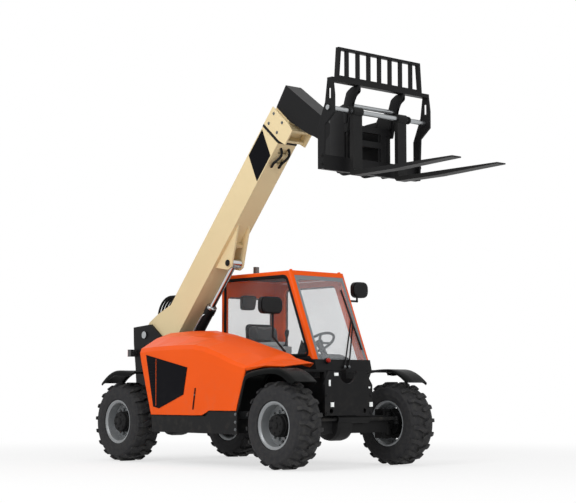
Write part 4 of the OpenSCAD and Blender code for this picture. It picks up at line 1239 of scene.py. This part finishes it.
@dataclass
class Fenders(Assembly):
    """Four moulded fenders: a skin along an arched line whose outer edge turns down into a lip."""

    inner: float = 0.61
    width: float = 0.295
    crown: float = 0.958
    front: float = 0.3
    thick: float = 0.01
    lip: float = 0.056
    short_lip: float = 0.04
    inner_lip: float = 0.026
    turn: float = 0.036
    fade: float = 0.09

    def arch(self, first: float) -> np.ndarray:
        """The fender's outer line: height falls with the square of the distance ahead of or behind the axle.

        Args:
            first: Where the line begins, from the axle.

        Returns:
            Pairs of x from the axle and z.
        """
        x = np.linspace(first, self.front, 48)
        return np.stack([x, self.crown - np.where(x > 0, 1.44, 0.275) * x ** 2], -1)

    def leg(self) -> np.ndarray:
        """The right front line with its leg behind the wheel: straight runs that a moving mean rounds."""
        low = np.array([(-0.545, 0.548), (-0.487, 0.74), (-0.442, 0.872), (-0.415, 0.903), (-0.37, 0.92)])
        line = np.concatenate([low, self.arch(-0.33)])
        line = spaced(line, 150, travelled(line))
        longer = np.pad(line, ((6, 6), (0, 0)), "reflect", reflect_type="odd")
        return np.stack([np.convolve(column, np.ones(13) / 13, "valid") for column in longer.T], -1)

    def skin(self, line: np.ndarray, end: int, side: int) -> Surface:
        """Carries the section along a line: over the top, round a quarter circle, down the lip and back.

        The lip has its short depth at both ends and grows to its full depth by a smooth cosine step. On
        its way back the section turns down into a shallow inner lip.

        Args:
            line: Pairs of x from the axle and z.
            end: 1 for the front and -1 for the rear.
            side: 1 for the left and -1 for the right.

        Returns:
            The closed surface.
        """
        a = np.linspace(0, np.pi / 2, 8)
        r, t, w = self.turn, self.thick, self.width
        out_y = np.concatenate([[0.0, 0.003, 0.1, 0.2], w - r + r * np.sin(a), [w, w - t],
                                w - r + (r - t) * np.sin(a[::-1]), [0.2, 0.1, t, t, 0.0]])
        down = np.concatenate([[0.003], np.zeros(3), r - r * np.cos(a), [1.0, 1.0],
                               r - (r - t) * np.cos(a[::-1]), np.full(3, t), np.full(2, self.inner_lip)])
        deep = down == 1.0
        run = travelled(line)
        near = np.clip(np.minimum(run, run[-1] - run) / self.fade, 0, 1)
        lip = self.short_lip + (self.lip - self.short_lip) * (0.5 - 0.5 * np.cos(np.pi * near))
        depth = np.where(deep[None], lip[:, None], down[None])
        ahead = unit(np.gradient(line, axis=0))
        below = np.stack([ahead[:, 1], -ahead[:, 0]], -1)
        flat = line[:, None] + depth[..., None] * below[:, None]
        across = np.broadcast_to(self.inner + out_y, depth.shape)
        return tube(np.stack([end * (AXLE_X + flat[..., 0]), side * across, flat[..., 1]], -1), True)

    def dress(self) -> None:
        """Builds the four skins in one piece, which stands for the plain solids."""
        self.paint(Finish.FENDER, "fenders")
        skins = [self.skin(self.leg(), 1, -1)]
        skins += [self.skin(self.arch(-0.27), end, side) for end, side in ((1, 1), (-1, 1), (-1, -1))]
        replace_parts(self.add("fender_skins", joined(skins), Finish.FENDER, sharp=50.0), "fenders")


@dataclass
class Carriage(Assembly):
    """Fork carriage with its cheeks, webs and bars, load guard, shaft and forks."""

    body: str = "carriage_body"
    half: float = 0.655

    def dress(self) -> None:
        """Finishes the carriage and adds its bolts, pin caps, fork collars and side plates."""
        self.paint(Finish.BLACK, "carriage", "load_guard")
        self.paint(Finish.STEEL, "fork_shaft")
        self.paint(Finish.FORK, "forks")
        cap = [(0.03, -0.004), (0.03, 0.006), (0.024, 0.01), (0.006, 0.011)]
        collar = [(0.025, 0.0), (0.036, 0.0), (0.038, 0.003), (0.038, 0.019), (0.036, 0.022), (0.025, 0.022)]
        for name, side in SIDES:
            out = side * Y
            heads = [TILT_PIN + (0.36, side * self.half, z) for z in (-0.3, -0.22)]
            self.add(f"post_bolts_{name}", bolts(heads, out, 0.028, 0.016), Finish.BLACK)
            self.add(f"tilt_cap_{name}", turned(cap, TILT_PIN + 0.15 * out, out, 28), Finish.DULL)
            at = TILT_PIN + (0.45, side * 0.39, 0.215)
            self.add(f"fork_collar_{name}", turned(collar, at, out, 32, True), Finish.BLACK)
            self.cheeks(name, side)

    def cheeks(self, name: str, side: int) -> None:
        """Cheek plates on an ear and on a hook arm, a side web, and the frame's bar beside the fork.

        Args:
            name: Which side, for the pieces' names.
            side: 1 for the left and -1 for the right.
        """
        ear = [(-0.15, 0.02), (-0.15, -0.12), (-0.09, -0.22), (0.026, -0.3), (0.096, -0.345),
               (0.299, -0.345), (0.299, 0.19), (0.12, 0.18), (-0.03, 0.13)]
        hook = [(0.3, 0.122), (0.341, 0.122), (0.35, 0.232), (0.4, 0.252), (0.416, 0.316), (0.446, 0.372),
                (0.498, 0.4), (0.498, 0.461), (0.412, 0.461), (0.338, 0.42), (0.3, 0.318)]
        web = [(0.2995, -0.345), (0.2, -0.345), (0.13, -0.27), (0.1, -0.15), (0.1, 0.19),
               (0.16, 0.28), (0.32, 0.318), (0.2995, 0.12)]
        bent = rounded(drawn(side, hook), 0.02)
        plates = (("ear_cheek", 0.136, rounded(drawn(side, ear), 0.03), 0.0003, 0.01),
                  ("hook_cheek_outer", 0.312, bent, 0.0003, 0.0077),
                  ("hook_cheek_inner", 0.28, bent, 0.0003, 0.0077),
                  ("side_web", 0.3, drawn(side, web), -0.011, 0.011))
        for part, y, outline, low, high in plates:
            at = Place(TILT_PIN + side * y * Y, -side * X, Z)
            self.add(f"{part}_{name}", plate(at, outline, low, high, 0.002, 3), Finish.BLACK)
        first, last = sorted((side * 0.2004, side * 0.268))
        at = Place(TILT_PIN + 0.3 * X, Y, Z)
        bar = plate(at, box((first, -0.209), (last, 0.059), 0.006), 0.0, 0.038, 0.003, 3)
        self.add(f"frame_bar_{name}", bar, Finish.BLACK)


@dataclass
class Hoses(Assembly):
    """Four hoses that loop from the frame's ears to the boom, each between crimped ends."""

    foot: tuple[float, float] = (-1.53, 1.000)
    bend: float = 0.23
    crown: float = 1.775
    reach: float = -1.156
    radius: float = 0.013
    pitch: float = 0.04
    count: int = 4

    def dress(self) -> None:
        """Tubes along an upright, a quarter circle and a level run, with a crimp at each end."""
        x, z = self.foot
        a = np.linspace(np.pi, np.pi / 2, 24)
        rise = np.stack([np.full(14, x), np.linspace(z, self.crown - self.bend, 14)], -1)
        arc = np.stack([x + self.bend * (1 + np.cos(a)), self.crown + self.bend * (np.sin(a) - 1)], -1)
        level = np.stack([np.linspace(x + self.bend, self.reach, 8), np.full(8, self.crown)], -1)
        line = np.concatenate([rise, arc[1:], level[1:]])
        path = np.insert(line, 1, BOOM_Y, axis=1)
        rows = np.outer((np.arange(self.count) - (self.count - 1) / 2) * self.pitch, Y)
        made = swept(path, round_section(self.radius, 14), Y).copies(rows).mesh("boom_hose_loop")
        made.data.materials.append(Finish.RUBBER.material())
        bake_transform(made)
        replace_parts(made, "boom_hoses")
        LOG.info("boom_hose_loop across the boom's joint")
        crimp = [(0.016, 0.0), (0.018, 0.003), (0.018, 0.03), (0.0165, 0.034), (0.018, 0.038),
                 (0.018, 0.052), (0.015, 0.056)]
        low = turned(crimp, (x, BOOM_Y, z), Z, 18).copies(rows)
        self.add("hose_crimps_low", low, Finish.DULL)
        high = turned(crimp, (self.reach, BOOM_Y, self.crown), -X, 18).copies(rows)
        self.add("hose_crimps_high", high, Finish.DULL, "boom_body")


@dataclass
class Seat(Assembly):
    """Seat cushion and backrest: crowned pads of blown and sewn cloth, on a tray and before a shell."""

    width: float = 0.46
    middle: float = 0.48
    base_x: float = -0.285
    frames: int = 20
    voxel: float = 0.006
    pressure: float = 4.0
    seam_at: float = 0.115
    seam_wide: float = 0.009
    seam_deep: float = 0.007

    def pad(self, place: Place, half: tuple[float, float], thick: float, power: float) -> Surface:
        """A crowned pad: superellipse outlines stacked by height, fuller in the middle than at the rims.

        Args:
            place: The pad's middle, with its two face directions.
            half: Half its width and length.
            thick: Its thickness.
            power: Squareness of its outline.

        Returns:
            The closed surface.
        """
        t = np.linspace(0, 2 * np.pi, 96, endpoint=False)
        circle = np.stack([np.cos(t), np.sin(t)], -1)
        rim = np.asarray(half) * np.sign(circle) * np.abs(circle) ** (2 / power)
        v = np.linspace(-np.pi / 2, np.pi / 2, 25)[1:-1]
        grow = np.sign(np.cos(v)) * np.abs(np.cos(v)) ** 0.35
        height = thick / 2 * np.sign(np.sin(v)) * np.abs(np.sin(v)) ** 0.8
        rings = rim[None] * grow[:, None, None]
        return tube(place.at(rings, np.broadcast_to(height[:, None], rings.shape[:2])))

    def swell(self, made: bpy.types.Object, cap: float) -> None:
        """Blows a pad up as cloth for some frames and keeps the result, each point's move capped.

        Args:
            made: The pad.
            cap: The furthest that a point may move.
        """
        remesh = made.modifiers.new("remesh", "REMESH")
        remesh.mode = "VOXEL"
        remesh.voxel_size = self.voxel
        graph = bpy.context.evaluated_depsgraph_get()
        made.data = bpy.data.meshes.new_from_object(made.evaluated_get(graph))
        made.modifiers.clear()
        start = self.corners(made.data)
        cloth = made.modifiers.new("cloth", "CLOTH")
        cloth.settings.use_pressure = True
        cloth.settings.uniform_pressure_force = self.pressure
        cloth.settings.effector_weights.gravity = 0.0
        for step in range(1, self.frames + 1):
            bpy.context.scene.frame_set(step)
        blown = made.evaluated_get(bpy.context.evaluated_depsgraph_get()).to_mesh()
        move = self.corners(blown) - start
        made.modifiers.clear()
        far = np.linalg.norm(move, axis=1, keepdims=True)
        kept = start + move * np.minimum(1.0, cap / np.maximum(far, 1e-9))
        made.data.vertices.foreach_set("co", kept.ravel())
        bpy.context.scene.frame_set(1)

    @staticmethod
    def corners(mesh: bpy.types.Mesh) -> np.ndarray:
        """A mesh's points as an array."""
        flat = np.empty(len(mesh.vertices) * 3, np.float32)
        mesh.vertices.foreach_get("co", flat)
        return flat.reshape(-1, 3).astype(float)

    def sew(self, made: bpy.types.Object, place: Place, across: np.ndarray) -> None:
        """Sinks two sewn channels into a pad's face, by a bell curve of the distance to each line.

        Args:
            made: The pad.
            place: The pad's frame.
            across: The direction that the lines are measured along.
        """
        points = self.corners(made.data)
        out = np.cross(place.right, place.up)
        flat = points - place.origin
        near = np.exp(-((np.abs(flat @ across) - self.seam_at) / self.seam_wide) ** 2)
        points -= (self.seam_deep * near * np.clip(flat @ out / 0.03, 0, 1))[:, None] * out
        made.data.vertices.foreach_set("co", points.astype(np.float32).ravel())
        made.data.polygons.foreach_set("use_smooth", np.ones(len(made.data.polygons), bool))
        smooth = made.modifiers.new("smooth", "SUBSURF")
        smooth.levels = smooth.render_levels = 1

    def dress(self) -> None:
        """Builds both pads, blows them up, sews them, and adds the back's shell and the cushion's tray."""
        base = Place((self.base_x, self.middle, 1.062), X, Y)
        back = Place((-0.474, self.middle, 1.29), Y, unit((-0.09, 0.0, 0.55)))
        half = self.width / 2 - 0.022
        cushion = self.add("seat_cushion", self.pad(base, (0.235, half), 0.068, 5.0), Finish.CLOTH)
        rest = self.add("seat_back", self.pad(back, (half, 0.165), 0.062, 5.0), Finish.CLOTH)
        for made, place, across in ((cushion, base, base.up), (rest, back, back.right)):
            self.swell(made, 0.022)
            self.sew(made, place, across)
        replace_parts(cushion, "seat")
        outline = rounded([(-0.21, -0.2), (0.21, -0.2), (0.19, 0.185), (-0.19, 0.185)], 0.06)
        self.add("seat_shell", plate(back, outline, -0.072, -0.048, 0.01, 4), Finish.MOULDED)
        at = Place((self.base_x, self.middle, 1.000), X, Y)
        tray = plate(at, box((-0.22, -0.2), (0.22, 0.2), 0.05), 0.0005, 0.022, 0.006, 3)
        self.add("seat_tray", tray, Finish.MOULDED)


@dataclass
class Studio:
    """Camera at the photograph's viewing angle, a pale floor and soft light."""

    eye: tuple[float, float, float] = (12.1219, -10.2856, 0.7398)
    ahead: tuple[float, float, float] = (-0.74477, 0.66036, 0.09611)
    lens: float = 94.99
    shift: tuple[float, float] = (-0.00634, -0.01274)
    sky: float = 0.5

    def camera(self) -> None:
        """Sets the camera up, looking along its axis with Z upright."""
        data = bpy.data.cameras.new("camera")
        data.lens, data.sensor_width = self.lens, 36.0
        data.shift_x, data.shift_y = self.shift
        data.clip_end = 200.0
        made = bpy.data.objects.new("camera", data)
        turn = Vector(self.ahead).to_track_quat("-Z", "Y").to_matrix().to_4x4()
        made.matrix_world = Matrix.Translation(self.eye) @ turn
        bpy.context.scene.collection.objects.link(made)
        bpy.context.scene.camera = made

    def lamp(self, name: str, place: Point, aim: Point, size: float, watts: float) -> None:
        """Adds a square area lamp.

        Args:
            name: The lamp's name.
            place: Where it stands.
            aim: What it points at.
            size: Its side.
            watts: Its power.
        """
        data = bpy.data.lights.new(name, "AREA")
        data.size, data.energy = size, watts
        made = bpy.data.objects.new(name, data)
        turn = (Vector(aim) - Vector(place)).to_track_quat("-Z", "Y").to_matrix().to_4x4()
        made.matrix_world = Matrix.Translation(place) @ turn
        bpy.context.scene.collection.objects.link(made)

    def backdrop(self) -> None:
        """A white world for the camera and reflections, dimmer as a light, and a floor for the shadow."""
        world = bpy.data.worlds.new("studio")
        bpy.context.scene.world = world
        world.use_nodes = True
        n = Nodes(world.node_tree)
        back = n.tree.nodes["Background"]
        n.feed(back.inputs["Color"], (1, 1, 1, 1))
        n.feed(back.inputs["Strength"], n.seen() * (1 - self.sky) + self.sky)
        grid = np.stack(np.meshgrid(np.linspace(-60, 60, 9), np.linspace(-60, 60, 9), indexing="ij"), -1)
        floor = sheet(np.concatenate([grid, np.full((9, 9, 1), -0.002)], -1)).mesh("floor")
        floor.data.materials.append(self.floor_paint())

    def floor_paint(self) -> bpy.types.Material:
        """Pale floor: white to the camera, with a share of shaded grey round the machine for its shadow.

        The share falls smoothly from a third to nothing between two and eight metres from the middle.
        """
        s = Shader("floor_paint")
        s.set(Base_Color="#f2f2f2", Roughness=0.9)
        x, y, _ = s.parts()
        far = (x * x + y * y).maths("SQRT").above(5.0, 6.0)
        glow = s.add("ShaderNodeEmission", None, {"Color": (1, 1, 1, 1), "Strength": 1.0})
        mixed = s.add("ShaderNodeMixShader", None,
                      {0: s.seen() * (0.67 + far * 0.33), 1: Value(s, s.surface.outputs[0]), 2: glow})
        s.feed(s.tree.nodes["Material Output"].inputs[0], mixed)
        return s.material

    def light(self) -> None:
        """Key from the camera's left, fill from its right, and a wide lamp overhead."""
        self.lamp("key", (3.5, -9.0, 7.5), (0.0, 0.0, 1.4), 5.0, 560.0)
        self.lamp("fill", (10.0, 1.0, 4.0), (0.3, 0.0, 1.4), 5.0, 180.0)
        self.lamp("over", (-1.0, 0.0, 9.0), (0.0, 0.0, 1.0), 6.0, 140.0)

    def dress(self) -> None:
        """Builds the studio."""
        self.camera()
        self.backdrop()
        self.light()
        bpy.context.scene.view_settings.view_transform = "Standard"


def main() -> None:
    """Builds the studio and every sub-assembly in order."""
    logging.basicConfig(level=logging.INFO, format="%(message)s")
    Studio().dress()
    for assembly in (Hoses(), Chassis(), Fenders(), Cab(), Seat(), Hood(), Boom(), Carriage(),
                     *(Wheel(end=end, side=side) for end in ENDS for side, _ in SIDES)):
        assembly.dress()


if __name__ == "__main__":
    main()
